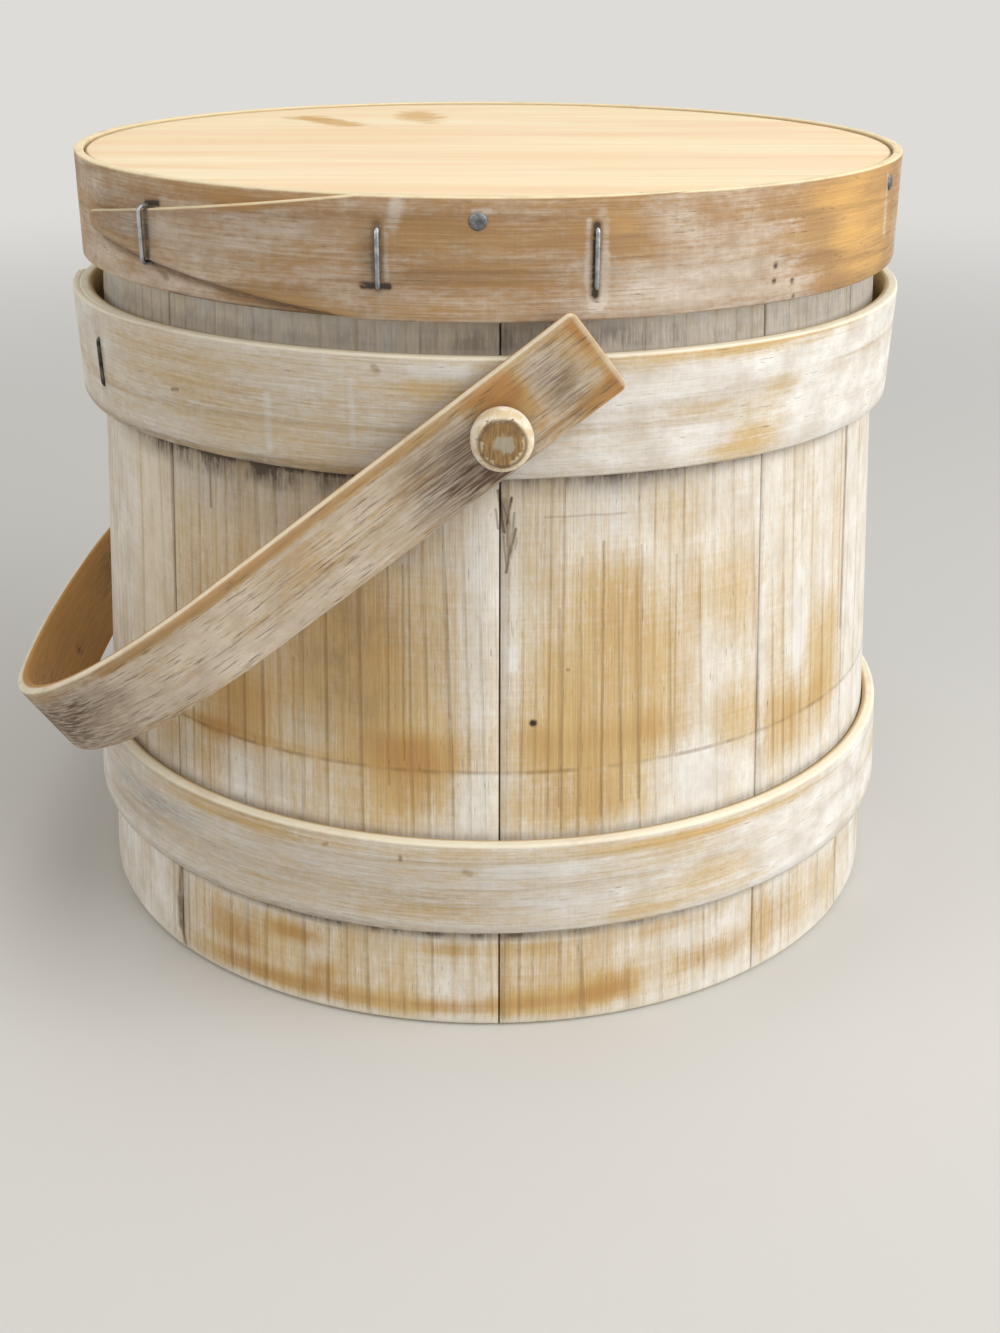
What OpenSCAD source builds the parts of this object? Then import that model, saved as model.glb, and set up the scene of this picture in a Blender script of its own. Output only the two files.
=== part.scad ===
// Firkin bucket: a coopered wooden tub with a lapped lid and a bentwood bail.
// Origin at the centre of the foot, +Z up. The front peg points to -Y, and the
// bail lies down towards -X. Azimuths run from the front (-Y) towards +X.

/* [Staves] */
// Height of the staves above the ground
stave_h = 225; // [205:1:300]
// Outer radius at the foot
foot_r = 132.2; // [126:0.1:145]
// Outer radius at the upper ends of the staves
top_r = 118.5; // [110:0.1:126]
// Thickness of a stave
stave_t = 11; // [9:0.5:15]
// Width of the dry joint between two staves
stave_gap = 0.2; // [0.1:0.05:1]
// Rounding of the outer foot edge
foot_round = 3; // [1:0.5:5]
// Bevel on the upper ends of the staves
top_ease = 0.8; // [0.2:0.1:2]

/* [Bottom] */
// Height of the bottom board's underside above the ground
bottom_z = 12; // [6:0.5:18]
// Thickness of the bottom board
bottom_t = 10; // [7:0.5:14]
// Depth of the groove in the staves that holds the bottom board
groove_depth = 4; // [2:0.5:6]

/* [Hoops] */
// Thickness of both hoops
hoop_t = 4.1; // [3:0.1:6]
// Height of the upper hoop
upper_hoop_h = 32; // [26:0.5:45]
// Gap between the lid's rim and the upper hoop
upper_hoop_gap = 8.5; // [2:0.5:20]
// How far the upper hoop stands off the staves at its top edge
upper_hoop_flare = 2.9; // [0.5:0.1:6]
// Height of the lower hoop
lower_hoop_h = 28; // [20:0.5:34]
// Height of the lower hoop's bottom edge above the ground
lower_hoop_z = 33; // [24:0.5:38]
// How far the outer end of a hoop stands proud at its lap
hoop_lap = 2.4; // [1:0.1:4]

/* [Lid] */
// Thickness of the lid's board
board_t = 10; // [7:0.5:14]
// Height of the bentwood rim
rim_h = 30.5; // [25:0.5:40]
// Thickness of the bentwood rim
rim_t = 2.8; // [2:0.1:6]
// How far the rim stands above the board
rim_proud = 0.7; // [0:0.1:2]
// Radial play between the staves and the rim's lower edge
lid_play = 2.6; // [0.8:0.1:4]
// How far the outer end of the rim stands proud at its lap
rim_lap = 2.6; // [1:0.1:4]

/* [Bail] */
// Width of the strap
strap_w = 23.5; // [19:0.5:32]
// Thickness of the strap
strap_t = 4; // [3:0.1:6]
// Distance from the pegs' axis to the inside of the far bend
bail_reach = 177.5; // [170:0.5:220]
// Outer radius of the two side bends
bend_r = 94; // [75:1:110]
// Outer radius of the far bend
far_bend_r = 350; // [250:10:800]
// Length of the strap past the pegs' axis
tail = 32.4; // [20:0.1:45]
// Rounding of the strap's end corners
tail_round = 2; // [1:0.5:5]
// How far the strap's centre line passes above the pegs at rest
peg_offset = 2.1; // [0:0.1:4]
// Side gap between the strap and the widest thing it swings past
strap_gap = 1.4; // [0.4:0.1:3]
// Gap between the resting strap and the lower hoop
rest_gap = 1.8; // [0.5:0.1:6]

/* [Pegs] */
// Radius of a peg's shank
shank_r = 4.5; // [3:0.1:6]
// Radius of a peg's knob
knob_r = 8; // [7:0.1:11]
// Length of a peg's knob
knob_h = 8.2; // [5:0.1:14]
// Rounding of the knob's face
knob_round = 2.4; // [0.5:0.1:4]
// How far a peg stands out inside the bucket
peg_inside = 1.5; // [0.5:0.1:5]
// How far the pegs sit below the middle of the upper hoop
peg_drop = 2.1; // [0:0.1:4]

/* [Fasteners] */
// Radius of the staple wire
wire_r = 0.65; // [0.4:0.05:1]
// Height of a staple in the lid's rim
rim_staple_h = 14.5; // [10:0.5:18]
// Height of a staple in a hoop
hoop_staple_h = 13.7; // [10:0.1:18]
// Radius of a nail's head
nail_head_r = 2.25; // [1.5:0.05:3]
// Thickness of a nail's head
nail_head_t = 0.9; // [0.6:0.1:1.5]
// Radius of a nail's shank
nail_r = 0.9; // [0.6:0.05:1.2]
// Length of a nail
nail_l = 22; // [15:0.5:30]

/* [Hidden] */
$fn = 144;
// Azimuths of the dry joints between the staves, starting at the front
joint_az = [0, 36.5, 58, 95, 132, 159, 203, 245, 278, 312];
stave_count = len(joint_az);
// Azimuths of the laps: tip of the outer end, where it has its full width, and where it starts
rim_lap_az = [-62, -16, 22];
upper_lap_az = [-128, -88, -43];
lower_lap_az = [147, 187, 232];
// Azimuths of the staples and nails
rim_staple_az = [-47.3, -13.8, 10.8];
upper_staple_az = [-61.5, -91, -117];
lower_staple_az = [158, 184, 211];
nail_az = [-2.6, 63, 127, 190, 252];
// Height of a lap's blunt tip, as a share of the band's height
tip_share = 0.18;

// Clearances: bail on its pegs, dry seats in one body, lid on the staves, knob to strap
bail_play = 0.08;
seat = 0.05;
hoop_seat = 0.1;
board_seat = 0.15;
lid_seat = 0.3;
knob_play = 0.3;

// Heights
board_z = stave_h + lid_seat;
rim_top = board_z + board_t + rim_proud;
rim_z = rim_top - rim_h;
upper_hoop_z = rim_z - upper_hoop_gap - upper_hoop_h;
peg_z = upper_hoop_z + upper_hoop_h / 2 - peg_drop;
nail_z = board_z + board_t / 2;
rim_staple_z = rim_z + rim_h / 2;

// Radii
taper = (foot_r - top_r) / stave_h;
function stave_r(z) = foot_r - taper * z;
function inner_r(z) = stave_r(z) - stave_t;
groove_r = inner_r(bottom_z + bottom_t) + groove_depth;
rim_in = stave_r(rim_z) + lid_play;
rim_out = rim_in + rim_t;

// A band is [z, height, inner radius at its bottom, inner radius at its top, thickness, lap, lap azimuths]
rim_band = [rim_z, rim_h, rim_in, rim_in, rim_t, rim_lap, rim_lap_az];
upper_band = [
    upper_hoop_z, upper_hoop_h,
    stave_r(upper_hoop_z) + hoop_seat,
    stave_r(upper_hoop_z + upper_hoop_h) + hoop_seat + upper_hoop_flare,
    hoop_t, hoop_lap, upper_lap_az
];
lower_band = [
    lower_hoop_z, lower_hoop_h,
    stave_r(lower_hoop_z) + hoop_seat,
    stave_r(lower_hoop_z + lower_hoop_h) + hoop_seat,
    hoop_t, hoop_lap, lower_lap_az
];

// The outer end of a band lies on a cone shifted sideways, so that it rises slowly from
// a low step on the band's face. It is proudest half_lap degrees before that step.
half_lap = 67;
lap_start = 0.3;
function lap_shift(b) = (b[5] - lap_start) / (1 - cos(half_lap));
function lap_shrink(b) = lap_shift(b) * cos(half_lap) - lap_start;
function lap_peak(b) = b[6][2] - half_lap;

// Outer radius of a band's plain ring at height z, and of its lap at azimuth az
function ring_out(b, z) = b[2] + (b[3] - b[2]) * (z - b[0]) / b[1] + b[4];
function lap_out(b, az, z) =
    let (e = lap_shift(b), a = az - lap_peak(b), r = ring_out(b, z) - lap_shrink(b))
    e * cos(a) + sqrt(r * r - pow(e * sin(a), 2));
function in_lap(b, az) = az > b[6][0] && az < b[6][2];
function band_out(b, az, z) = in_lap(b, az) ? lap_out(b, az, z) : ring_out(b, z);
function band_lean(b) = atan((b[3] - b[2]) / b[1]);

// Bail, in its own plane: d runs from the pegs' axis to the far bend, y across
bail_in = max(ring_out(upper_band, upper_hoop_z + upper_hoop_h),
              ring_out(upper_band, upper_hoop_z),
              band_out(rim_band, nail_az[0], nail_z) + nail_head_t / 2) + strap_gap;
bail_out = bail_in + strap_t;
far_d = bail_reach + strap_t;
far_centre = far_d - far_bend_r;
bend_y = bail_out - bend_r;
straight = far_centre + sqrt(pow(far_bend_r - bend_r, 2) - bend_y * bend_y);
far_half = atan(bend_y / (straight - far_centre));

// The resting strap's lower inner edge lies just outside the lower hoop's upper edge
low_edge = strap_w / 2 - peg_offset;
edge_dist = norm([bail_reach, low_edge]);
hoop_top_r = ring_out(lower_band, lower_hoop_z + lower_hoop_h);
rest_tilt = acos((hoop_top_r + rest_gap) / edge_dist) - atan(low_edge / bail_reach);

// Peg, along its own axis from the bucket's centre line outwards
peg_start = inner_r(peg_z) - peg_inside;
knob_start = bail_out + knob_play;

// Puts +X of its children at an azimuth
module at_azimuth(az) {
    rotate([0, 0, az - 90]) children();
}

// Upright cross-section of a stave, with its rounded foot, its bevelled top and its groove
module stave_section() {
    lean = sqrt(1 + taper * taper);
    round_x = foot_r - foot_round * (taper + lean);
    difference() {
        union() {
            polygon([
                [inner_r(0), 0],
                [round_x, 0],
                [round_x + foot_round / lean, foot_round * (1 + taper / lean)],
                [stave_r(stave_h - top_ease), stave_h - top_ease],
                [top_r - top_ease, stave_h],
                [top_r - stave_t + top_ease, stave_h],
                [inner_r(stave_h - top_ease), stave_h - top_ease]
            ]);
            translate([round_x, foot_round]) circle(r = foot_round);
        }
        translate([groove_r - stave_t, bottom_z - board_seat])
            square([stave_t, bottom_t + 2 * board_seat]);
    }
}

// Holes for both pegs, through the staves and the upper hoop
module peg_holes() {
    translate([0, 0, peg_z]) rotate([90, 0, 0])
        difference() {
            cylinder(r = shank_r + seat, h = 4 * foot_r, center = true);
            cylinder(r = 2 * shank_r, h = foot_r, center = true);
        }
}

// One stave of the tub, numbered from the front joint towards +X
module stave(i) {
    start = joint_az[i - 1];
    end = i < stave_count ? joint_az[i] : 360;
    gap_angle = stave_gap / foot_r * 180 / PI;
    color(i % 2 == 0 ? "wheat" : "burlywood")
    difference() {
        at_azimuth(start + gap_angle / 2)
            rotate_extrude(angle = end - start - gap_angle) stave_section();
        peg_holes();
    }
}

// Round board let into the staves' groove
module bottom_board() {
    color("tan") translate([0, 0, bottom_z]) cylinder(r = groove_r - board_seat, h = bottom_t);
}

// Plain ring of a band
module band_ring(b) {
    rotate_extrude() polygon([
        [b[2], b[0]],
        [b[2] + b[4], b[0]],
        [b[3] + b[4], b[0] + b[1]],
        [b[3], b[0] + b[1]]
    ]);
}

// Outer end of a band: full width where it starts, tapered to a blunt tip
module band_lap(b) {
    tip = b[6][0];
    full = b[6][1];
    middle = (tip + b[6][2]) / 2;
    r = max(b[2], b[3]) + b[4];
    reach = r + b[5] + 1;
    past = b[1];
    z_low = b[0];
    z_high = b[0] + b[1];
    z_mid = (z_low + z_high) / 2;
    half_tip = tip_share * b[1] / 2;
    s_tip = r * sin(tip - middle);
    s_full = r * sin(full - middle);
    s_end = r * sin(b[6][2] - middle);
    peak = lap_peak(b) - middle;
    at_azimuth(middle)
    difference() {
        intersection() {
            translate([lap_shift(b) * cos(peak), lap_shift(b) * sin(peak), z_low])
                cylinder(r1 = b[2] + b[4] - lap_shrink(b), r2 = b[3] + b[4] - lap_shrink(b), h = b[1]);
            rotate([90, 0, 90]) linear_extrude(reach) polygon([
                [s_tip, z_mid - half_tip],
                [s_full, z_low],
                [s_full, z_low - past],
                [s_end, z_low - past],
                [s_end, z_high + past],
                [s_full, z_high + past],
                [s_full, z_high],
                [s_tip, z_mid + half_tip]
            ]);
        }
        translate([0, 0, z_low - 1])
            cylinder(r1 = b[2] + b[4] / 4, r2 = b[3] + 3 * b[4] / 4, h = b[1] + 2);
    }
}

module band(b) {
    band_ring(b);
    band_lap(b);
}

// One wire staple standing upright, its crown on the face x = 0 and its legs towards -X
module staple(h, leg, wire) {
    bend = 2 * wire_r;
    crown_x = wire_r / 2;
    translate([crown_x, 0, 0]) cylinder(r = wire, h = h - 2 * bend, center = true);
    for (s = [-1, 1]) {
        translate([crown_x - bend, 0, s * (h / 2 - bend)]) rotate([90, 0, 0]) rotate([0, 0, s > 0 ? 0 : -90])
            rotate_extrude(angle = 90) translate([bend, 0]) circle(r = wire);
        translate([crown_x - bend - leg, 0, s * (h / 2)]) rotate([0, 90, 0]) cylinder(r = wire, h = leg);
    }
}

// The staples of a band, with grow added to the wire's radius. Each goes through both plies
// and ends just short of the band's inner face.
module band_staples(b, azimuths, z, h, grow) {
    for (az = azimuths)
        let (leg = band_out(b, az, z) - ring_out(b, z) + b[4] - 2 * wire_r)
            at_azimuth(az) translate([band_out(b, az, z), 0, z]) rotate([0, band_lean(b), 0])
                staple(h, leg, wire_r + grow);
}

module rim_staples(grow) {
    band_staples(rim_band, rim_staple_az, rim_staple_z, rim_staple_h, grow);
}

module upper_staples(grow) {
    band_staples(upper_band, upper_staple_az, upper_hoop_z + upper_hoop_h / 2, hoop_staple_h, grow);
}

module lower_staples(grow) {
    band_staples(lower_band, lower_staple_az, lower_hoop_z + lower_hoop_h / 2, hoop_staple_h, grow);
}

// Nails through the rim into the edge of the lid's board, with grow added to each radius
module rim_nails(grow) {
    for (az = nail_az)
        at_azimuth(az) translate([band_out(rim_band, az, nail_z) + nail_head_t / 2, 0, nail_z])
            rotate([0, -90, 0]) {
                cylinder(r = nail_r + grow, h = nail_l + grow);
                cylinder(r = nail_head_r + grow, h = nail_head_t + grow);
            }
}

module upper_hoop() {
    color("antiquewhite") difference() {
        band(upper_band);
        peg_holes();
        upper_staples(seat);
    }
}

module lower_hoop() {
    color("antiquewhite") difference() {
        band(lower_band);
        lower_staples(seat);
    }
}

module upper_hoop_staples() {
    color("dimgray") upper_staples(0);
}

module lower_hoop_staples() {
    color("dimgray") lower_staples(0);
}

// Turned peg that pins the bail: shank through strap, hoop and stave, and a knob outside
module peg() {
    color("moccasin") translate([0, 0, peg_z]) rotate([90, 0, 0]) rotate_extrude() {
        translate([0, peg_start]) square([shank_r, knob_start - peg_start + 1]);
        translate([0, knob_start]) {
            square([knob_r, knob_h - knob_round]);
            square([knob_r - knob_round, knob_h]);
            translate([knob_r - knob_round, knob_h - knob_round]) circle(r = knob_round);
        }
    }
}

module peg_front() {
    peg();
}

module peg_back() {
    rotate([0, 0, 180]) peg();
}

// Points along an arc
function arc(x, y, r, from, to, steps) =
    [for (k = [0 : steps]) let (a = from + (to - from) * k / steps) [x + r * cos(a), y + r * sin(a)]];

// One face of the bail in plan, inset from its outer face: leg, side bend, far bend, side bend, leg
function bail_face(inset) = concat(
    [[tail, bail_out - inset]],
    arc(-straight, bend_y, bend_r - inset, 90, 180 - far_half, 32),
    arc(-far_centre, 0, far_bend_r - inset, 180 - far_half, 180 + far_half, 16),
    arc(-straight, -bend_y, bend_r - inset, 180 + far_half, 270, 32),
    [[tail, inset - bail_out]]
);

// Side view of the strap, with the rounded corners of its two ends
module bail_side() {
    low = peg_offset - strap_w / 2;
    length = far_d + tail + 1;
    translate([-far_d - 1, low]) {
        square([length - tail_round, strap_w]);
        translate([0, tail_round]) square([length, strap_w - 2 * tail_round]);
        for (y = [tail_round, strap_w - tail_round])
            translate([length - tail_round, y]) circle(r = tail_round);
    }
}

// Bentwood strap that hangs on the two pegs, lying against the lower hoop
module bail() {
    outer = bail_face(0);
    inner = bail_face(strap_t);
    last = len(inner) - 1;
    color("rosybrown") translate([0, 0, peg_z]) rotate([0, -rest_tilt, 0]) difference() {
        intersection() {
            translate([0, 0, peg_offset - strap_w / 2]) linear_extrude(strap_w)
                polygon(concat(outer, [for (k = [last : -1 : 0]) inner[k]]));
            rotate([90, 0, 0]) linear_extrude(3 * bail_out, center = true) bail_side();
        }
        rotate([90, 0, 0]) cylinder(r = shank_r + bail_play, h = 3 * bail_out, center = true);
    }
}

// Round board of the lid
module lid_board() {
    color("bisque") difference() {
        translate([0, 0, board_z]) cylinder(r = rim_in - board_seat, h = board_t);
        rim_nails(seat);
    }
}

// Bentwood rim of the lid, lapped over itself at the front left
module lid_rim() {
    color("peru") difference() {
        band(rim_band);
        rim_staples(seat);
        rim_nails(seat);
    }
}

module lid_staples() {
    color("silver") rim_staples(0);
}

module lid_nails() {
    color("silver") rim_nails(0);
}

for (i = [1 : stave_count])
    stave(i);
bottom_board();
upper_hoop();
lower_hoop();
upper_hoop_staples();
lower_hoop_staples();
peg_front();
peg_back();
bail();
lid_board();
lid_rim();
lid_staples();
lid_nails();
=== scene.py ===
import math

import bpy
import numpy as np
from mathutils import Matrix, Vector


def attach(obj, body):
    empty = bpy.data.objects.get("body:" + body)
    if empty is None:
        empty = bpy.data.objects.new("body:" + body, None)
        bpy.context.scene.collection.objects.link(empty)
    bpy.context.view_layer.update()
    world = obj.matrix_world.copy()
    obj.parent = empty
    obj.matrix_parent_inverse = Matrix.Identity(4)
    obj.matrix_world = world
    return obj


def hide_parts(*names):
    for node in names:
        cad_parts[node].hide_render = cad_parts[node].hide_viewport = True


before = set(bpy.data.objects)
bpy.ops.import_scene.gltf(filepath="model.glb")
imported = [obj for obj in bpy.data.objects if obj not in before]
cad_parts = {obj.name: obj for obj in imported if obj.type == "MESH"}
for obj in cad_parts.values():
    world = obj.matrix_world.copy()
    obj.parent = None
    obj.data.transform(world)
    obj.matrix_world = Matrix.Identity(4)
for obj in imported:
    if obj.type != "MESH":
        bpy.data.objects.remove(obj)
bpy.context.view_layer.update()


# The view: the bucket stands on the floor and is seen from the front and above, by somebody
# standing close to it, with the bail hanging down on the left. Azimuths run from the front (-Y)
# towards +X, and lengths that end in _mm are in millimetres.
camera = bpy.data.objects.new("camera", bpy.data.cameras.new("camera"))
camera.data.sensor_fit = "VERTICAL"
camera.data.sensor_height = 36
camera.data.lens = 45.23
camera.matrix_world = (
    Matrix.Translation((-0.01318, -0.53978, 0.29350))
    @ Matrix.Rotation(math.radians(-1.83), 4, "Z")
    @ Matrix.Rotation(math.radians(90 - 23.58), 4, "X")
    @ Matrix.Rotation(math.radians(0.23), 4, "Z")
)
bpy.context.scene.collection.objects.link(camera)
bpy.context.scene.camera = camera
bpy.context.scene.view_settings.view_transform = "Standard"


# Staves: ten pine staves of different widths, planed, jointed dry and turned round on the
# outside once the hoops held them. They were brushed with thin white paint and rubbed back,
# so bare honey-coloured pine shows in patches, between dark hairline growth rings.
stave_h_mm, foot_r_mm, top_r_mm, stave_t_mm = 225, 132.2, 118.5, 11
joint_az = [0, 36.5, 58, 95, 132, 159, 203, 245, 278, 312, 360]
joint_gap_deg = 0.1


def add(tree, kind, links=None, **settings):
    """Adds a node. links gives its inputs, by name or number, as a value, a socket or a node."""
    made = tree.nodes.new(kind)
    for key, value in settings.items():
        setattr(made, key, value)
    for key, value in (links or {}).items():
        if isinstance(value, bpy.types.Node):
            value = value.outputs[0]
        if isinstance(value, bpy.types.NodeSocket):
            tree.links.new(value, made.inputs[key])
        else:
            made.inputs[key].default_value = value
    return made


def paint(hex_colour):
    """An sRGB hex colour as the linear colour that a shader takes."""
    parts = [int(hex_colour[i : i + 2], 16) / 255 for i in (1, 3, 5)]
    return [c / 12.92 if c <= 0.04045 else ((c + 0.055) / 1.055) ** 2.4 for c in parts] + [1.0]


def grown(name, tree, values, points=None):
    """Runs a Geometry Nodes tree once and keeps what it makes as a plain mesh."""
    seed = bpy.data.objects.new(name + "_seed", points or bpy.data.meshes.new(name + "_seed"))
    bpy.context.scene.collection.objects.link(seed)
    nodes = seed.modifiers.new("nodes", "NODES")
    nodes.node_group = tree
    for item in tree.interface.items_tree:
        if item.item_type == "SOCKET" and item.in_out == "INPUT" and item.name in values:
            nodes[item.identifier] = values[item.name]
    ready = bpy.context.evaluated_depsgraph_get()
    mesh = bpy.data.meshes.new_from_object(
        seed.evaluated_get(ready), preserve_all_data_layers=True, depsgraph=ready
    )
    bpy.data.objects.remove(seed)
    piece = bpy.data.objects.new(name, mesh)
    bpy.context.scene.collection.objects.link(piece)
    return piece


def rubbed(piece, layer, along, across, places):
    """Writes a layer on the vertices. A place is its middle, its two half sizes and its strength."""
    amount = np.zeros(len(along))
    for a, b, half_a, half_b, strength in places:
        off = np.abs((along - a) / half_a) ** 3.0 + np.abs((across - b) / half_b) ** 3.0
        amount += strength * np.exp(-off)
    if layer not in piece.data.attributes:
        piece.data.attributes.new(layer, "FLOAT", "POINT")
    kept = np.zeros(len(along), np.float32)
    piece.data.attributes[layer].data.foreach_get("value", kept)
    piece.data.attributes[layer].data.foreach_set("value", (kept + amount).astype(np.float32))


def round_the_tub(piece):
    """Azimuth in degrees, from -180 to 180, and height in millimetres, of every vertex."""
    spots = np.zeros(len(piece.data.vertices) * 3, np.float32)
    piece.data.vertices.foreach_get("co", spots)
    x, y, z = spots.reshape(-1, 3).T
    return np.degrees(np.arctan2(x, -y)), z * 1000


def drawn(tree, marks):
    """Single marks on the tub, as a field from 0 to 1. A mark runs between two points, each an
    azimuth and a height in mm, and has its half width in mm and its strength."""
    place = add(tree, "ShaderNodeTexCoord").outputs["Object"]
    place = add(tree, "ShaderNodeSeparateXYZ", {0: place})
    front = add(tree, "ShaderNodeMath", {0: place.outputs["Y"], 1: -1.0}, operation="MULTIPLY")
    round_it = add(tree, "ShaderNodeMath", {0: place.outputs["X"], 1: front}, operation="ARCTAN2")
    round_mm = add(tree, "ShaderNodeMath", {0: round_it, 1: 128.0}, operation="MULTIPLY")
    up_mm = add(tree, "ShaderNodeMath", {0: place.outputs["Z"], 1: 1000.0}, operation="MULTIPLY")
    spot = add(tree, "ShaderNodeCombineXYZ", {"X": round_mm, "Y": up_mm})
    shiver = add(tree, "ShaderNodeTexNoise", {"Vector": spot, "Scale": 0.07, "Detail": 4, "Roughness": 0.6})
    spot = add(tree, "ShaderNodeVectorMath", {0: shiver.outputs["Color"], 1: (1.1, 1.1, 0), 2: spot},
               operation="MULTIPLY_ADD")
    field = 0.0
    for az_a, z_a, az_b, z_b, half, strength in marks:
        # The noise above moves every point by 0.55 mm on average
        start = (math.radians(az_a) * 128 + 0.55, z_a + 0.55, 0)
        run = (math.radians(az_b - az_a) * 128, z_b - z_a, 0)
        long = max(run[0] ** 2 + run[1] ** 2, 1e-6)
        away = add(tree, "ShaderNodeVectorMath", {0: spot, 1: start}, operation="SUBTRACT")
        share = add(tree, "ShaderNodeVectorMath", {0: away, 1: (run[0] / long, run[1] / long, 0)},
                    operation="DOT_PRODUCT")
        share = add(tree, "ShaderNodeMath", {0: share.outputs["Value"], 1: 0.0}, operation="ADD", use_clamp=True)
        near = add(tree, "ShaderNodeVectorMath", {0: share, 1: run, 2: start}, operation="MULTIPLY_ADD")
        off = add(tree, "ShaderNodeVectorMath", {0: spot, 1: near}, operation="DISTANCE")
        mark = add(tree, "ShaderNodeMapRange",
                   {"Value": off.outputs["Value"], "From Min": half * 1.6, "From Max": half * 0.5, "To Max": strength})
        field = add(tree, "ShaderNodeMath", {0: mark, 1: field}, operation="MAXIMUM")
    return field


def whitewashed(name, bare, late, wash, cover, ring_mm=7.0, patch=1.1, streak=0.7, fibre=0.6, saw=0.45, grit=0.8,
                patch_mm=(70, 26), pore_mm=(7, 0.8), pores=0.12, ring_depth=0.5, ring_stain=0.16,
                smear=0.4, soft=0.6, scored_mm=None, grime_and_shade="#57493c", edge="#efdcb2", edge_mm=2.8, back="#cdb082",
                dark_marks=(), pale_marks=()):
    """Wood under thin, rubbed white paint. The vertex layer grain runs along, across and into the
    wood, wear bares it, soil darkens it with dirt and with painted shade, and bright is the cream of a
    sanded edge and a painted highlight. bare is pale, common and deep, wash is its two paints, the
    grime colour is that of both dirt and painted shade, and back the side that was never painted."""
    made = bpy.data.materials.new(name)
    made.use_nodes = True
    tree = made.node_tree
    shader = tree.nodes["Principled BSDF"]
    grain = add(tree, "ShaderNodeAttribute", attribute_name="grain").outputs["Vector"]
    wear = add(tree, "ShaderNodeAttribute", attribute_name="wear").outputs["Fac"]
    soil_and_shade = add(tree, "ShaderNodeAttribute", attribute_name="soil_and_shade").outputs["Fac"]
    bright = add(tree, "ShaderNodeAttribute", attribute_name="bright").outputs["Fac"]
    noise = {}
    # Each noise by its length along and across the grain in mm, and its detail
    for layer, along, across, detail in (
        ("patch", *patch_mm, 7), ("streak", 90, 2.6, 4), ("fibre", 30, 0.7, 4), ("saw", 1.1, 34, 3), ("grit", 3.2, 1.5, 4),
        ("tone", 160, 14, 3), ("wander", 420, 42, 1), ("strength", 260, 3.4, 2), ("dash", *pore_mm, 3),
        ("blot", 12, 9, 5),
    ):
        size = add(tree, "ShaderNodeVectorMath", {0: grain, 1: (1000 / along, 1000 / across, 1000 / across)},
                   operation="MULTIPLY")
        noise[layer] = add(tree, "ShaderNodeTexNoise",
                           {"Vector": size, "Scale": 1.0, "Detail": detail, "Roughness": 0.6}).outputs["Fac"]
    # Growth rings: a short rise to a dark hairline, which drops back sharply
    way = add(tree, "ShaderNodeSeparateXYZ", {0: grain})
    turn = add(tree, "ShaderNodeMath", {0: way.outputs["Y"], 1: 1000 / ring_mm}, operation="MULTIPLY")
    bend = add(tree, "ShaderNodeMath", {0: noise["wander"], 1: 5.0, 2: turn}, operation="MULTIPLY_ADD")
    ramp = add(tree, "ShaderNodeMath", {0: bend}, operation="FRACT")
    rise = add(tree, "ShaderNodeMapRange", {"Value": ramp, "From Min": 0.62, "From Max": 0.95},
               interpolation_type="SMOOTHERSTEP")
    fall = add(tree, "ShaderNodeMapRange", {"Value": ramp, "From Min": 1.0, "From Max": 0.955})
    line = add(tree, "ShaderNodeMath", {0: rise, 1: fall}, operation="MULTIPLY")
    some = add(tree, "ShaderNodeMapRange", {"Value": noise["strength"], "From Min": 0.36, "From Max": 0.62})
    ring = add(tree, "ShaderNodeMath", {0: line, 1: some}, operation="MULTIPLY")
    # How much paint is left: less on rings, fibres and worn places
    left = cover - 0.5 * (patch + streak + fibre + saw + grit)
    for part, weight in ((noise["patch"], patch), (noise["streak"], streak), (noise["fibre"], fibre),
                         (noise["saw"], saw), (noise["grit"], grit), (ring, -0.15), (wear, -1.0)):
        left = add(tree, "ShaderNodeMath", {0: part, 1: weight, 2: left}, operation="MULTIPLY_ADD")
    if pale_marks:
        left = add(tree, "ShaderNodeMath", {0: drawn(tree, pale_marks), 1: 0.9, 2: left}, operation="MULTIPLY_ADD")
    score = None
    if scored_mm:
        # A faint line scored round the tub, with more paint left below it in places
        place = add(tree, "ShaderNodeTexCoord").outputs["Object"]
        height = add(tree, "ShaderNodeSeparateXYZ", {0: place}).outputs["Z"]
        below = add(tree, "ShaderNodeMapRange", {"Value": height, "From Min": (scored_mm + 0.3) / 1000,
                                                 "From Max": (scored_mm - 0.3) / 1000, "To Max": 0.30})
        more = add(tree, "ShaderNodeMapRange", {"Value": noise["patch"], "From Min": 0.35, "From Max": 0.6})
        left = add(tree, "ShaderNodeMath", {0: below, 1: more, 2: left}, operation="MULTIPLY_ADD")
        off = add(tree, "ShaderNodeMath", {0: height, 1: scored_mm / 1000}, operation="SUBTRACT")
        off = add(tree, "ShaderNodeMath", {0: off}, operation="ABSOLUTE")
        score = add(tree, "ShaderNodeMapRange",
                    {"Value": off, "From Min": 0.0009, "From Max": 0.0002, "To Max": 0.5})
        worn = add(tree, "ShaderNodeMapRange", {"Value": noise["blot"], "From Min": 0.36, "From Max": 0.6})
        score = add(tree, "ShaderNodeMath", {0: score, 1: worn}, operation="MULTIPLY")
    coated = add(tree, "ShaderNodeMapRange",
                 {"Value": left, "From Min": -soft, "From Max": soft, "To Min": 0.05, "To Max": 0.95},
                 interpolation_type="SMOOTHSTEP")
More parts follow.
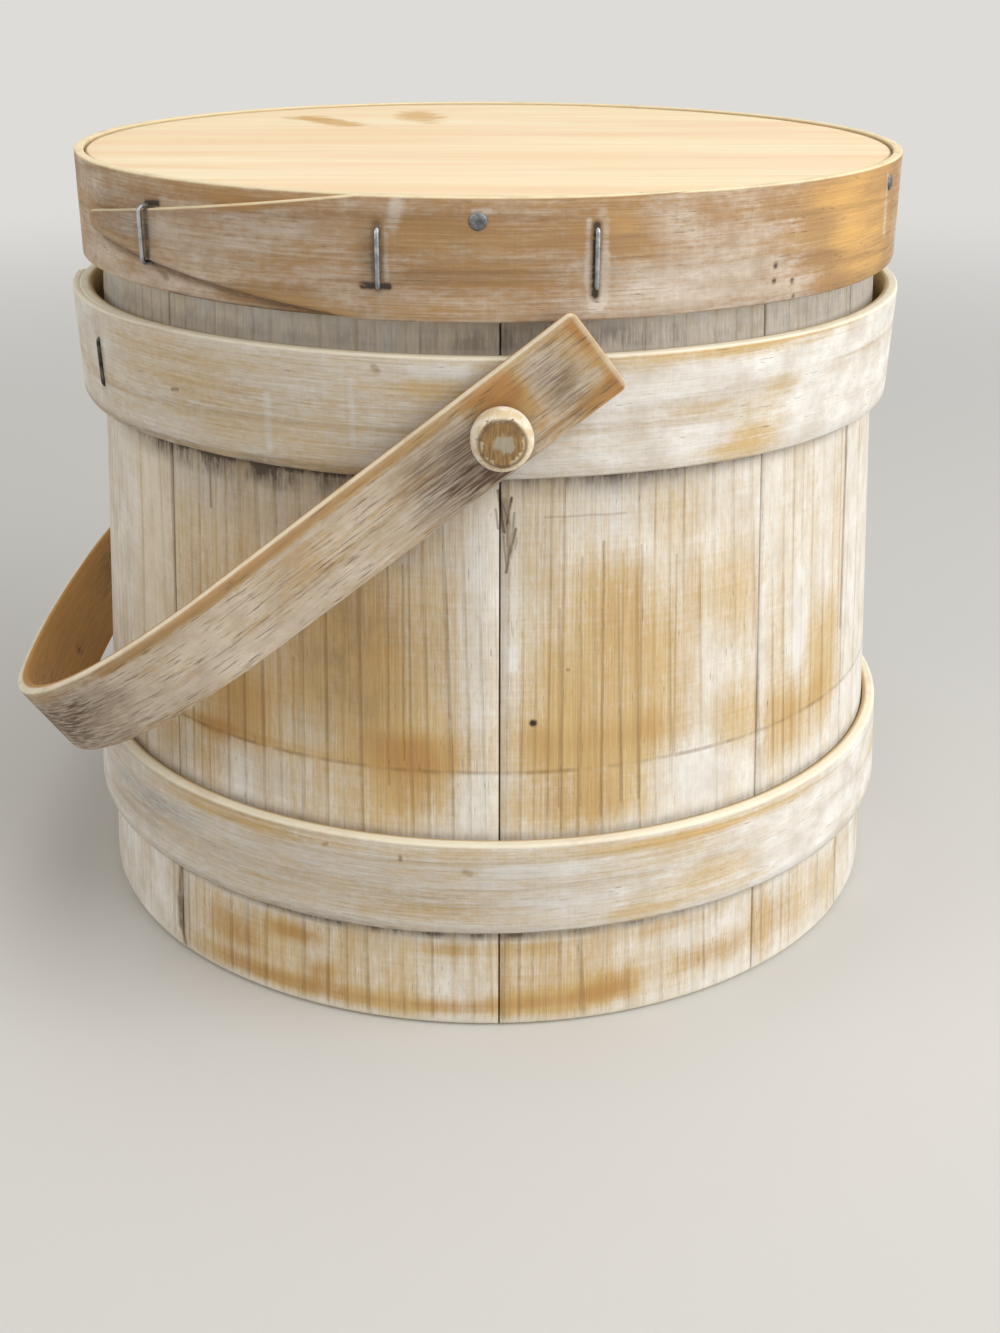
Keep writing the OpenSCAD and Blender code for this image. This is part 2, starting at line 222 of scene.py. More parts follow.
    # Bare wood: pale to common by its tone, and deep orange where it is worn most
    tone = add(tree, "ShaderNodeMapRange", {"Value": noise["tone"], "From Min": 0.3, "From Max": 0.7})
    wood = add(tree, "ShaderNodeMix", {0: tone, 6: paint(bare[0]), 7: paint(bare[1])}, data_type="RGBA")
    core = add(tree, "ShaderNodeMath", {0: noise["patch"], 1: 1.2, 2: wear}, operation="MULTIPLY_ADD")
    core = add(tree, "ShaderNodeMapRange", {"Value": core, "From Min": 1.2, "From Max": 2.0},
               interpolation_type="SMOOTHSTEP")
    wood = add(tree, "ShaderNodeMix", {0: core, 6: wood.outputs[2], 7: paint(bare[2])}, data_type="RGBA")
    thread = add(tree, "ShaderNodeMapRange",
                 {"Value": noise["fibre"], "From Min": 0.3, "From Max": 0.7, "To Min": 0.30, "To Max": 0.0})
    inked = add(tree, "ShaderNodeMath", {0: ring, 1: ring_depth}, operation="MULTIPLY")
    for depth in (thread, inked):
        wood = add(tree, "ShaderNodeMix", {0: depth, 6: wood.outputs[2], 7: paint(late)}, data_type="RGBA")
    cloud = add(tree, "ShaderNodeMapRange", {"Value": noise["blot"], "From Min": 0.35, "From Max": 0.65})
    coat = add(tree, "ShaderNodeMix", {0: cloud, 6: paint(wash[0]), 7: paint(wash[1])}, data_type="RGBA")
    faint = add(tree, "ShaderNodeMath", {0: ring, 1: ring_stain}, operation="MULTIPLY")
    coat = add(tree, "ShaderNodeMix", {0: faint, 6: coat.outputs[2], 7: paint(late)}, data_type="RGBA")
    colour = add(tree, "ShaderNodeMix", {0: coated, 6: wood.outputs[2], 7: coat.outputs[2]}, data_type="RGBA")
    # The side that was never painted, with its own fibres
    inside = add(tree, "ShaderNodeMapRange", {"Value": way.outputs["Z"], "From Min": -0.0009, "From Max": -0.0026})
    plain = add(tree, "ShaderNodeMix", {0: thread, 6: paint(back), 7: paint(late)}, data_type="RGBA")
    colour = add(tree, "ShaderNodeMix", {0: inside, 6: colour.outputs[2], 7: plain.outputs[2]}, data_type="RGBA")
    # Sanded edges, cream and a little uneven, lighter also as a painted highlight where light falls
    # on them. Only the outer edge_mm of an edge is cream; deeper in, the edge keeps the darker colour of
    # the unpainted side, as painted shade on its inner part
    sanded_and_highlit = add(tree, "ShaderNodeMapRange",
                 {"Value": noise["blot"], "From Min": 0.32, "From Max": 0.5, "To Min": 0.55, "To Max": 0.95})
    sanded_and_highlit = add(tree, "ShaderNodeMath", {0: sanded_and_highlit, 1: bright}, operation="MULTIPLY")
    near_front = add(tree, "ShaderNodeMapRange", {"Value": way.outputs["Z"], "From Min": -(edge_mm + 0.4) / 1000,
                                                  "From Max": -(edge_mm - 0.4) / 1000})
    sanded_and_highlit = add(tree, "ShaderNodeMath", {0: sanded_and_highlit, 1: near_front}, operation="MULTIPLY")
    colour = add(tree, "ShaderNodeMix", {0: sanded_and_highlit, 6: colour.outputs[2], 7: paint(edge)}, data_type="RGBA")
    if score:
        colour = add(tree, "ShaderNodeMix", {0: score, 6: colour.outputs[2], 7: paint(late)}, data_type="RGBA")
    # Soil and painted shade: specks of dirt in the pores, and a soft smudge where the layer of soil and
    # shade says, which is dirt in places and painted shadow in others, as under the hoops and the lid
    speck = add(tree, "ShaderNodeMath", {0: noise["dash"], 1: 1.7, 2: pores - 0.85}, operation="MULTIPLY_ADD")
    speck = add(tree, "ShaderNodeMath", {0: noise["blot"], 1: 0.6, 2: speck}, operation="MULTIPLY_ADD")
    speck = add(tree, "ShaderNodeMapRange",
                {"Value": speck, "From Min": 0.62, "From Max": 0.95, "To Max": 0.7}, interpolation_type="SMOOTHSTEP")
    clean = add(tree, "ShaderNodeMath", {0: inside, 1: 0.45, 2: bright}, operation="MULTIPLY_ADD")
    speck = add(tree, "ShaderNodeMath", {0: speck, 1: clean}, operation="SUBTRACT", use_clamp=True)
    mixed = add(tree, "ShaderNodeMath", {0: noise["dash"], 1: smear}, operation="MULTIPLY")
    mixed = add(tree, "ShaderNodeMath", {0: noise["blot"], 1: 1 - smear, 2: mixed}, operation="MULTIPLY_ADD")
    mixed = add(tree, "ShaderNodeMapRange",
                {"Value": mixed, "From Min": 0.42, "From Max": 0.59, "To Min": 0.38, "To Max": 1.0})
    smudge_and_shade = add(tree, "ShaderNodeMath", {0: mixed, 1: soil_and_shade}, operation="MULTIPLY", use_clamp=True)
    dirt_and_shade = add(tree, "ShaderNodeMath", {0: speck, 1: smudge_and_shade}, operation="MAXIMUM")
    if dark_marks:
        ragged = add(tree, "ShaderNodeMapRange",
                     {"Value": noise["grit"], "From Min": 0.3, "From Max": 0.5, "To Min": 0.45, "To Max": 1.0})
        marked = add(tree, "ShaderNodeMath", {0: drawn(tree, dark_marks), 1: ragged}, operation="MULTIPLY")
        deep = add(tree, "ShaderNodeMapRange", {"Value": marked, "From Min": 0.35, "From Max": 0.6})
        ink = add(tree, "ShaderNodeMix", {0: deep, 6: paint(late), 7: paint("#32271d")}, data_type="RGBA")
        marked = add(tree, "ShaderNodeMath", {0: marked, 1: 1.5}, operation="MULTIPLY", use_clamp=True)
        colour = add(tree, "ShaderNodeMix", {0: marked, 6: colour.outputs[2], 7: ink.outputs[2]}, data_type="RGBA")
    colour = add(tree, "ShaderNodeMix", {0: dirt_and_shade, 6: colour.outputs[2], 7: paint(grime_and_shade)}, data_type="RGBA")
    tree.links.new(colour.outputs[2], shader.inputs["Base Color"])
    rough = add(tree, "ShaderNodeMapRange", {"Value": coated, "To Min": 0.6, "To Max": 0.8})
    tree.links.new(rough.outputs[0], shader.inputs["Roughness"])
    # Relief: paint stands on the wood, rings and pores are sunk
    relief = add(tree, "ShaderNodeMath", {0: coated, 1: 0.3}, operation="MULTIPLY")
    for part, weight in ((noise["fibre"], 0.8), (noise["grit"], 0.5), (ring, -0.4), (dirt_and_shade.outputs[0], -0.5), (noise["saw"], 0.3)):
        relief = add(tree, "ShaderNodeMath", {0: part, 1: weight, 2: relief}, operation="MULTIPLY_ADD")
    bump = add(tree, "ShaderNodeBump", {"Height": relief, "Strength": 0.7, "Distance": 0.0003})
    tree.links.new(bump.outputs[0], shader.inputs["Normal"])
    shader.inputs["IOR"].default_value = 1.45
    return made


stave_tree = bpy.data.node_groups.new("turned_stave", "GeometryNodeTree")
for label, kind in (
    ("Foot Radius", "Float"), ("Top Radius", "Float"), ("Height", "Float"), ("Thickness", "Float"),
    ("Middle", "Float"), ("Half Angle", "Float"), ("Seed", "Float"), ("Finish", "Material"),
):
    stave_tree.interface.new_socket(label, in_out="INPUT", socket_type="NodeSocket" + kind)
stave_tree.interface.new_socket("Geometry", in_out="OUTPUT", socket_type="NodeSocketGeometry")
given = add(stave_tree, "NodeGroupInput").outputs
block = add(stave_tree, "GeometryNodeMeshCube",
            {"Size": (2, 2, 2), "Vertices X": 33, "Vertices Y": 9, "Vertices Z": 121})
at = add(stave_tree, "GeometryNodeInputPosition")
size = add(stave_tree, "ShaderNodeVectorMath", {0: at}, operation="ABSOLUTE")
side = add(stave_tree, "ShaderNodeVectorMath", {0: at}, operation="SIGN")
up = add(stave_tree, "ShaderNodeSeparateXYZ", {0: at})
# Edges rounded with 3 mm at the foot and 0.8 mm at the top; the joints are hairline V grooves
foot_ease = add(stave_tree, "ShaderNodeMapRange",
                {"Value": up.outputs["Z"], "From Min": -1, "From Max": 1, "To Min": 0.003, "To Max": 0.0008})
ease = add(stave_tree, "ShaderNodeCombineXYZ", {"X": 0.00032, "Y": 0.0026, "Z": foot_ease})
half_turn = add(stave_tree, "ShaderNodeMath", {0: given["Foot Radius"], 1: given["Half Angle"]}, operation="MULTIPLY")
half_deep = add(stave_tree, "ShaderNodeMath", {0: given["Thickness"], 1: 0.5}, operation="MULTIPLY")
half_tall = add(stave_tree, "ShaderNodeMath", {0: given["Height"], 1: 0.5}, operation="MULTIPLY")
half = add(stave_tree, "ShaderNodeCombineXYZ", {"X": half_turn, "Y": half_deep, "Z": half_tall})
core = add(stave_tree, "ShaderNodeVectorMath", {0: half, 1: ease}, operation="SUBTRACT")
share = (13 / 16, 1 / 4, 56 / 60)
flat = add(stave_tree, "ShaderNodeMapRange", {6: size, 8: share, 9: (0, 0, 0), 10: core}, data_type="FLOAT_VECTOR")
curl = add(stave_tree, "ShaderNodeMapRange", {6: size, 7: share, 8: (1, 1, 1), 9: (0, 0, 0), 10: ease},
           data_type="FLOAT_VECTOR")
reach = add(stave_tree, "ShaderNodeVectorMath", {0: flat.outputs[1], 1: curl.outputs[1]}, operation="ADD")
held = add(stave_tree, "ShaderNodeVectorMath", {0: reach, 1: core}, operation="MINIMUM")
past = add(stave_tree, "ShaderNodeVectorMath", {0: reach, 1: held}, operation="SUBTRACT")
past = add(stave_tree, "ShaderNodeVectorMath", {0: past, 1: ease}, operation="DIVIDE")
past = add(stave_tree, "ShaderNodeVectorMath", {0: past}, operation="NORMALIZE")
past = add(stave_tree, "ShaderNodeVectorMath", {0: past, 1: ease}, operation="MULTIPLY")
eased = add(stave_tree, "ShaderNodeVectorMath", {0: held, 1: past}, operation="ADD")
board = add(stave_tree, "ShaderNodeVectorMath", {0: eased, 1: side}, operation="MULTIPLY")
board = add(stave_tree, "ShaderNodeSeparateXYZ", {0: board})
# The straight board laid round the cone, with the hand-turned face up to 0.3 mm low in places
tall = add(stave_tree, "ShaderNodeMath", {0: board.outputs["Z"], 1: half_tall}, operation="ADD")
cone = add(stave_tree, "ShaderNodeMapRange",
           {"Value": tall, "From Min": 0.0, "From Max": given["Height"],
            "To Min": given["Foot Radius"], "To Max": given["Top Radius"]}, clamp=False)
deep = add(stave_tree, "ShaderNodeMath", {0: board.outputs["Y"], 1: half_deep}, operation="SUBTRACT")
uneven = add(stave_tree, "ShaderNodeTexNoise", {"Vector": at, "W": given["Seed"], "Scale": 1.2, "Detail": 1},
             noise_dimensions="4D")
low = add(stave_tree, "ShaderNodeMath", {0: uneven, 1: -0.00045, 2: deep}, operation="MULTIPLY_ADD")
radius = add(stave_tree, "ShaderNodeMath", {0: cone, 1: low}, operation="ADD")
part = add(stave_tree, "ShaderNodeMath", {0: board.outputs["X"], 1: half_turn}, operation="DIVIDE")
angle = add(stave_tree, "ShaderNodeMath", {0: part, 1: given["Half Angle"], 2: given["Middle"]}, operation="MULTIPLY_ADD")
sine = add(stave_tree, "ShaderNodeMath", {0: angle}, operation="SINE")
cosine = add(stave_tree, "ShaderNodeMath", {0: angle}, operation="COSINE")
back = add(stave_tree, "ShaderNodeMath", {0: radius, 1: -1}, operation="MULTIPLY")
x = add(stave_tree, "ShaderNodeMath", {0: radius, 1: sine}, operation="MULTIPLY")
y = add(stave_tree, "ShaderNodeMath", {0: back, 1: cosine}, operation="MULTIPLY")
spot = add(stave_tree, "ShaderNodeCombineXYZ", {"X": x, "Y": y, "Z": tall})
# Grain: up the stave, across it and into it, each stave from another part of the log
log_z = add(stave_tree, "ShaderNodeMath", {0: given["Seed"], 1: 0.37, 2: tall}, operation="MULTIPLY_ADD")
log_x = add(stave_tree, "ShaderNodeMath", {0: given["Seed"], 1: 0.1137, 2: board.outputs["X"]}, operation="MULTIPLY_ADD")
log = add(stave_tree, "ShaderNodeCombineXYZ", {"X": log_z, "Y": log_x, "Z": deep})
shape = add(stave_tree, "GeometryNodeStoreNamedAttribute", {"Geometry": block, "Name": "grain"},
            data_type="FLOAT_VECTOR", domain="POINT")
stave_tree.links.new(log.outputs[0], [s for s in shape.inputs if s.name == "Value" and s.enabled][0])
shape = add(stave_tree, "GeometryNodeSetPosition", {"Geometry": shape, "Position": spot})
shape = add(stave_tree, "GeometryNodeSetShadeSmooth", {"Geometry": shape})
shape = add(stave_tree, "GeometryNodeRealizeInstances", {"Geometry": shape})
shape = add(stave_tree, "GeometryNodeSetMaterial", {"Geometry": shape, "Material": given["Finish"]})
add(stave_tree, "NodeGroupOutput", {0: shape})

# Brushed-on chalky white paint over planed pine: matt, with saw marks and open rings. The marks
# are splinters at the front joint, cracks, single rings, a nail hole, and dabs of thicker paint.
stave_finish = whitewashed(
    "whitewashed_pine", ("#dcbf84", "#cba563", "#bd8c42"), "#7a5a2f", ("#d9d3c8", "#efede8"), cover=0.32,
    ring_mm=5.6, saw=0.4, grit=0.7, scored_mm=81, back="#c9ad7e", edge="#f1e8d4", smear=0.3, soft=0.66, edge_mm=15,
    dark_marks=[
        (-0.2, 161, 0.5, 150, 0.5, 0.55), (1.4, 159, 0.9, 152, 0.4, 0.6), (0.2, 158, 1.2, 152, 0.3, 0.5),
        (0.5, 158, 0.9, 151, 1.1, 0.35), (1.6, 149.5, 1.1, 143.5, 0.9, 0.35),
        (1.8, 155, 1.5, 149, 0.3, 0.4), (0.9, 150, 0.9, 146, 0.3, 0.4), (1.9, 150.5, 1.3, 144, 0.45, 0.5),
        (1.3, 146, 0.8, 139, 0.4, 0.5), (2.1, 148, 1.9, 145, 0.25, 0.3), (-0.5, 156, -0.2, 151, 0.3, 0.4),
        (0.4, 149, 0.8, 140, 0.25, 0.4), (-48.4, 28.5, -48.7, 18, 0.8, 0.45),
        (-48.7, 18, -48.4, 8.5, 1.6, 0.5), (-48.4, 8.5, -47.5, 2.8, 0.9, 0.45), (4.2, 95.6, 4.2, 95.6, 0.9, 1.0),
        (-48.2, 163, -48.2, 108, 0.7, 0.28), (57.8, 163, 57.4, 100, 0.8, 0.36),
        (8.5, 110.8, 8.5, 110.8, 0.5, 0.35), (5.5, 153.6, 15.8, 153.4, 0.3, 0.2), (-14, 140, -14, 76, 0.35, 0.25),
        (-12, 140, -12, 84, 0.3, 0.3), (-40.2, 164, -40.2, 148, 0.5, 0.4), (-27, 110, -27, 82, 0.35, 0.2),
        (10.2, 142, 10.2, 70, 0.4, 0.24), (13, 146, 13, 66, 0.4, 0.32), (15.6, 142, 15.6, 70, 0.35, 0.2),
        (18.1, 144, 18.1, 70, 0.4, 0.22), (23, 140, 23, 82, 0.35, 0.22), (7.5, 128, 7.5, 70, 0.35, 0.2),
    ],
    pale_marks=[
        (37.4, 78, 37.4, 124, 1.6, 0.35), (44.5, 97, 45, 124, 2.6, 0.3), (1.5, 112, 1.5, 117, 1.5, 0.4),
    ],
)
# Worn places by azimuth and height, and half sizes; a negative one has more paint
stave_wear = [
    (-24, 110, 27, 66, 0.36), (-40, 128, 10, 18, 0.26), (-36, 92, 7, 14, 0.66), (-21, 112, 7, 30, 0.44),
    (-11, 108, 7, 30, 0.36), (-10, 86, 8, 6.5, 0.46), (-12, 86, 4, 5, 0.3), (-10, 74, 5, 9, 0.60), (-18, 72, 5, 10, 0.35),
    (-41, 72, 4, 9, 0.50), (-29.5, 71.5, 7, 7, 0.06), (-26, 89, 3.5, 7, -0.25), (-2, 128, 3, 34, -0.30),
    (-43, 82, 5, 3, 0.4), (-34, 82, 14, 2.5, 0.25),
    (14.5, 128, 5.5, 15, 0.74), (12, 102, 10, 15, 0.62), (13, 86, 9.5, 8, 0.66), (22, 112, 5, 24, 0.42),
    (31, 126, 5.5, 12, 0.42), (33, 88, 4.5, 9, 0.50), (28.5, 105, 4.5, 8, 0.05), (11, 71, 10.5, 9, 0.88),
    (28.5, 71, 6, 8, -0.25), (27, 83, 4, 3.5, -0.1), (4, 88, 4, 10, 0.34), (21, 90, 4, 8, 0.18),
    (4, 138, 8, 32, 0.12), (22, 152, 3.5, 9, 0.36), (41.5, 100, 4.5, 28, 0.40), (40.5, 80, 4, 13, 0.24),
    (51, 97, 4, 17, 0.74), (48, 78, 7, 11, 0.62), (44.5, 110, 2.6, 15, -0.3), (33, 126, 3, 60, 0.08),
    (-54, 110, 5, 60, 0.34), (-51, 76, 3, 10, 0.35), (55.5, 120, 2, 50, 0.25),
    (-39, 19, 5.5, 9, 0.56), (-28, 23.5, 5, 3.6, 0.75), (-32, 15, 7, 5, 0.30), (-33, 6.2, 12, 3.4, 0.80),
    (-11, 6.4, 12, 2.6, 0.72), (-23, 12.5, 2.5, 4, 0.6), (-6, 25.5, 5, 2, 0.5), (4, 25.5, 4, 1.5, 0.45),
    (7, 8, 8, 3.4, 0.78), (15, 11, 4.5, 5, 0.62), (29, 13, 7, 5, 0.55), (23, 27, 8, 2.8, 0.5),
    (42, 16, 6, 10, 0.50), (52, 16, 4, 9, 0.45), (0, 16, 62, 18, 0.46),
    (92, 96, 10, 30, 0.5), (128, 80, 9, 24, 0.5), (160, 120, 12, 26, 0.4), (-150, 88, 12, 26, 0.5),
    (-118, 110, 9, 34, 0.4), (-85, 84, 9, 22, 0.4), (112, 140, 10, 14, -0.2), (-170, 140, 12, 16, -0.2),
    (-100, 140, 10, 16, -0.2), (80, 18, 10, 7, 0.5), (150, 16, 12, 6, 0.5), (-130, 16, 12, 7, 0.5),
]
# Soil by azimuth and height, and half sizes: smudges of dirt, and painted shade in the lines along the hoops' edges, in
# the gap under the lid, and in a darker patch in the strap's shade
stave_soil_and_shade = [
    (0, 164, 999, 1.8, 0.7), (-38, 162, 24, 4.4, 0.95), (-38, 164.4, 24, 1.6, 0.8), (-34, 153, 14, 9, 0.34), (14, 161.5, 14, 3, 0.4),
    (0.8, 152, 1.6, 9, 0.22), (0, 199.5, 999, 4, 0.54), (8, 201, 14, 5, 0.25), (-47.8, 20, 1.4, 12, 0.5),
    (0, 62, 999, 1.2, 0.6), (0, 31.6, 999, 1.8, 0.8), (-20, 30.4, 40, 1.8, 0.5), (-12, 122, 9, 26, 0.20),
    (-12, 150, 8, 12, 0.24), (15, 156, 14, 7, 0.12), (-21, 108, 6, 22, 0.3), (-29, 71, 7, 6, 0.14), (4.5, 142, 3, 14, 0.18),
]
# The rounded edge of the foot is rubbed to cream, and one stave on the left is painted lighter, as painted light from
# the left falling on it
stave_sanded_and_lit = [(0, 0.6, 999, 1.8, 0.75), (-54, 128, 4.5, 60, 0.4)]
for number in range(len(joint_az) - 1):
    start, end = joint_az[number], joint_az[number + 1]
    stave = grown(f"pine_stave_{number + 1}", stave_tree, {
        "Foot Radius": foot_r_mm / 1000, "Top Radius": top_r_mm / 1000, "Height": stave_h_mm / 1000,
        "Thickness": stave_t_mm / 1000, "Middle": math.radians((start + end) / 2),
        "Half Angle": math.radians((end - start - joint_gap_deg) / 2), "Seed": float(number + 1),
        "Finish": stave_finish,
    })
    turned, height = round_the_tub(stave)
    for layer, places in (("wear", stave_wear), ("soil_and_shade", stave_soil_and_shade), ("bright", stave_sanded_and_lit)):
        rubbed(stave, layer, turned, height, places)
    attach(stave, "bucket")
    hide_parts(f"stave_{number + 1}")


# Bottom: a round pine board, let into a groove in the staves, bare inside and below.
# It was never painted, so it is plain pine, a little grey, with its rings running across.
def bare_pine(name, light, dark, late, ring_mm, gloss, streak=0.35):
    """Planed softwood under nothing or a thin clear coat, with its grain along X in object space."""
    made = bpy.data.materials.new(name)
    made.use_nodes = True
    tree = made.node_tree
    shader = tree.nodes["Principled BSDF"]
    place = add(tree, "ShaderNodeTexCoord").outputs["Object"]
    noise = {}
    for layer, along, across, detail in (
        ("tone", 220, 22, 4), ("wander", 380, 60, 1), ("fibre", 26, 0.7, 4), ("streak", 90, 5, 3), ("strength", 200, 9, 2),
    ):
        size = add(tree, "ShaderNodeVectorMath", {0: place, 1: (1000 / along, 1000 / across, 1000 / across)},
                   operation="MULTIPLY")
        noise[layer] = add(tree, "ShaderNodeTexNoise",
                           {"Vector": size, "Scale": 1.0, "Detail": detail, "Roughness": 0.6}).outputs["Fac"]
    way = add(tree, "ShaderNodeSeparateXYZ", {0: place})
    turn = add(tree, "ShaderNodeMath", {0: way.outputs["Y"], 1: 1000 / ring_mm}, operation="MULTIPLY")
    bend = add(tree, "ShaderNodeMath", {0: noise["wander"], 1: 9.0, 2: turn}, operation="MULTIPLY_ADD")
    ramp = add(tree, "ShaderNodeMath", {0: bend}, operation="FRACT")
    rise = add(tree, "ShaderNodeMapRange", {"Value": ramp, "From Min": 0.2, "From Max": 0.9},
               interpolation_type="SMOOTHERSTEP")
    fall = add(tree, "ShaderNodeMapRange", {"Value": ramp, "From Min": 1.0, "From Max": 0.92})
    line = add(tree, "ShaderNodeMath", {0: rise, 1: fall}, operation="MULTIPLY")
    some = add(tree, "ShaderNodeMapRange", {"Value": noise["strength"], "From Min": 0.4, "From Max": 0.7})
    ring = add(tree, "ShaderNodeMath", {0: line, 1: some}, operation="MULTIPLY")
    tone = add(tree, "ShaderNodeMapRange", {"Value": noise["tone"], "From Min": 0.3, "From Max": 0.7})
    colour = add(tree, "ShaderNodeMix", {0: tone, 6: paint(light), 7: paint(dark)}, data_type="RGBA")
    for part, low, high, depth in ((noise["streak"], 0.5, 0.8, streak), (noise["fibre"], 0.5, 0.85, 0.4), (ring, 0, 1, 0.35)):
        depth = add(tree, "ShaderNodeMapRange", {"Value": part, "From Min": low, "From Max": high, "To Max": depth})
        colour = add(tree, "ShaderNodeMix", {0: depth, 6: colour.outputs[2], 7: paint(late)}, data_type="RGBA")
    tree.links.new(colour.outputs[2], shader.inputs["Base Color"])
    shader.inputs["Roughness"].default_value = gloss
    shader.inputs["IOR"].default_value = 1.45
    bump = add(tree, "ShaderNodeBump", {"Height": noise["fibre"], "Strength": 0.5, "Distance": 0.0002})
    tree.links.new(bump.outputs[0], shader.inputs["Normal"])
    return made, colour


bottom_finish, _ = bare_pine("planed_pine", "#d8bd8c", "#caa873", "#a07a48", 9, 0.7)
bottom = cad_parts["bottom_board"]
bottom.data.materials.clear()
bottom.data.materials.append(bottom_finish)


# Hoops: each is one thin, wide strip of wood, steamed, bent round the tub and lapped over
# itself, with its outer end cut to a blunt tongue and stapled through. The upper one stands
# off the staves at its top edge. Whitewashed with the staves, and worn to tan along the edges.
upper_hoop = {"low": 165.0, "high": 197.0, "foot": 122.253, "top": 123.205, "thick": 4.1,
              "lap": 2.4, "tip": -128, "full": -88, "start": -43}
lower_hoop = {"low": 33.0, "high": 61.0, "foot": 130.291, "top": 128.586, "thick": 4.1,
              "lap": 2.4, "tip": 147, "full": 187, "start": 232}


def ring_face(strip, z):
    """Outer radius of a strip's plain ring at height z."""
    lean = (strip["top"] - strip["foot"]) / (strip["high"] - strip["low"])
    return strip["foot"] + lean * (z - strip["low"]) + strip["thick"]


def lap_face(strip, az, z):
    """Outer radius of a strip's outer end: it leaves the ring at start and is proudest near its tip."""
    shift = (strip["lap"] - 0.3) / (1 - math.cos(math.radians(67)))
    shrink = shift * math.cos(math.radians(67)) - 0.3
    turned = np.radians(az - strip["start"] + 67)
    ring = ring_face(strip, z) - shrink
    leaving = np.clip((strip["start"] - az) / 9, 0, 1)
    return shift * np.cos(turned) + np.sqrt(ring**2 - (shift * np.sin(turned)) ** 2) - 0.45 * (1 - leaving)


def skin(name, loops, grain, finish, flat_ends=True):
    """A closed skin over a row of loops of points, with both ends capped. All in millimetres."""
    rows, count = loops.shape[:2]
    faces = []
    for i in range(rows - 1):
        for k in range(count):
            n = (k + 1) % count
            faces.append((i * count + k, i * count + n, (i + 1) * count + n, (i + 1) * count + k))
    faces.append(tuple(reversed(range(count))))
    faces.append(tuple(range((rows - 1) * count, rows * count)))
    mesh = bpy.data.meshes.new(name)
    mesh.from_pydata((loops.reshape(-1, 3) / 1000).tolist(), [], faces)
    smooth = np.ones(len(faces), bool)
    smooth[-2:] = not flat_ends
    mesh.polygons.foreach_set("use_smooth", smooth)
    layer = mesh.attributes.new("grain", "FLOAT_VECTOR", "POINT")
    layer.data.foreach_set("vector", (grain.reshape(-1, 3) / 1000).astype(np.float32).ravel())
    mesh.materials.append(finish)
    # Turn the faces outwards where the loops run the other way round
    mesh.calc_loop_triangles()
    spots = loops.reshape(-1, 3)
    corners = np.array([t.vertices for t in mesh.loop_triangles])
    volume = np.einsum("ij,ij->i", spots[corners[:, 0]], np.cross(spots[corners[:, 1]], spots[corners[:, 2]])).sum()
    if volume < 0:
        mesh.flip_normals()
    piece = bpy.data.objects.new(name, mesh)
    bpy.context.scene.collection.objects.link(piece)
    return piece


def rounded_section(rows=11, inner_rows=6, edge_rows=3, corner=4):
    """A rounded rectangle as four shares: of thickness and ease outwards, of height and ease up."""
    outer = [(1, 0, f, 1 - 2 * f) for f in np.linspace(0, 1, rows)]
    bends = [[(1, -1 + math.cos(a), 1, -1 + math.sin(a)) for a in np.linspace(0, math.pi / 2, corner + 1)[1:-1]],
             [(0, 1 - math.sin(a), 1, -1 + math.cos(a)) for a in np.linspace(0, math.pi / 2, corner + 1)[1:-1]],
             [(0, 1 - math.cos(a), 0, 1 - math.sin(a)) for a in np.linspace(0, math.pi / 2, corner + 1)[1:-1]],
             [(1, -1 + math.sin(a), 0, 1 - math.cos(a)) for a in np.linspace(0, math.pi / 2, corner + 1)[1:-1]]]
    top = [(1 - f, -1 + 2 * f, 1, 0) for f in np.linspace(0, 1, edge_rows)]
    inner = [(0, 0, 1 - f, -1 + 2 * f) for f in np.linspace(0, 1, inner_rows)]
    under = [(f, 1 - 2 * f, 0, 0) for f in np.linspace(0, 1, edge_rows)]
    return np.array(outer + bends[0] + top + bends[1] + inner + bends[2] + under + bends[3])


def bent_strip(name, az, low, high, inner, outer, ease, middle, finish, log=0.0):
    """A strip of wood bent round the tub, from azimuth to azimuth, with eased edges."""
    section = rounded_section()
    az, low, high = (np.asarray(v, float)[:, None] for v in (az, low, high))
    thick = outer(az, (low + high) / 2) - inner(az, (low + high) / 2)
    soft = np.minimum(ease, np.minimum(0.45 * thick, 0.45 * (high - low)))
    z = low + section[:, 2] * (high - low) + section[:, 3] * soft
    deep = section[:, 0] * thick + section[:, 1] * soft
    radius = inner(az, z) + deep
    turned = np.radians(az)
    loops = np.stack([radius * np.sin(turned), -radius * np.cos(turned), z], -1)
    grain = np.stack([turned * 128 + log + 0 * z, z - middle + log, deep - thick], -1)
    piece = skin(name, loops, grain, finish)
    # The upper edge and its ease are sanded to cream, and lighter also as a painted highlight, where light from above
    # falls on them
    sanded_and_highlit = np.clip((z - (high - soft)) / (0.6 * soft), 0, 1).astype(np.float32)
    piece.data.attributes.new("bright", "FLOAT", "POINT").data.foreach_set("value", sanded_and_highlit.ravel())
    return piece


def joined(name, pieces):
    """Several skins as one piece."""
    with bpy.context.temp_override(active_object=pieces[0], selected_editable_objects=pieces,
                                   object=pieces[0], selected_objects=pieces):
        bpy.ops.object.join()
    pieces[0].name = name
    return pieces[0]


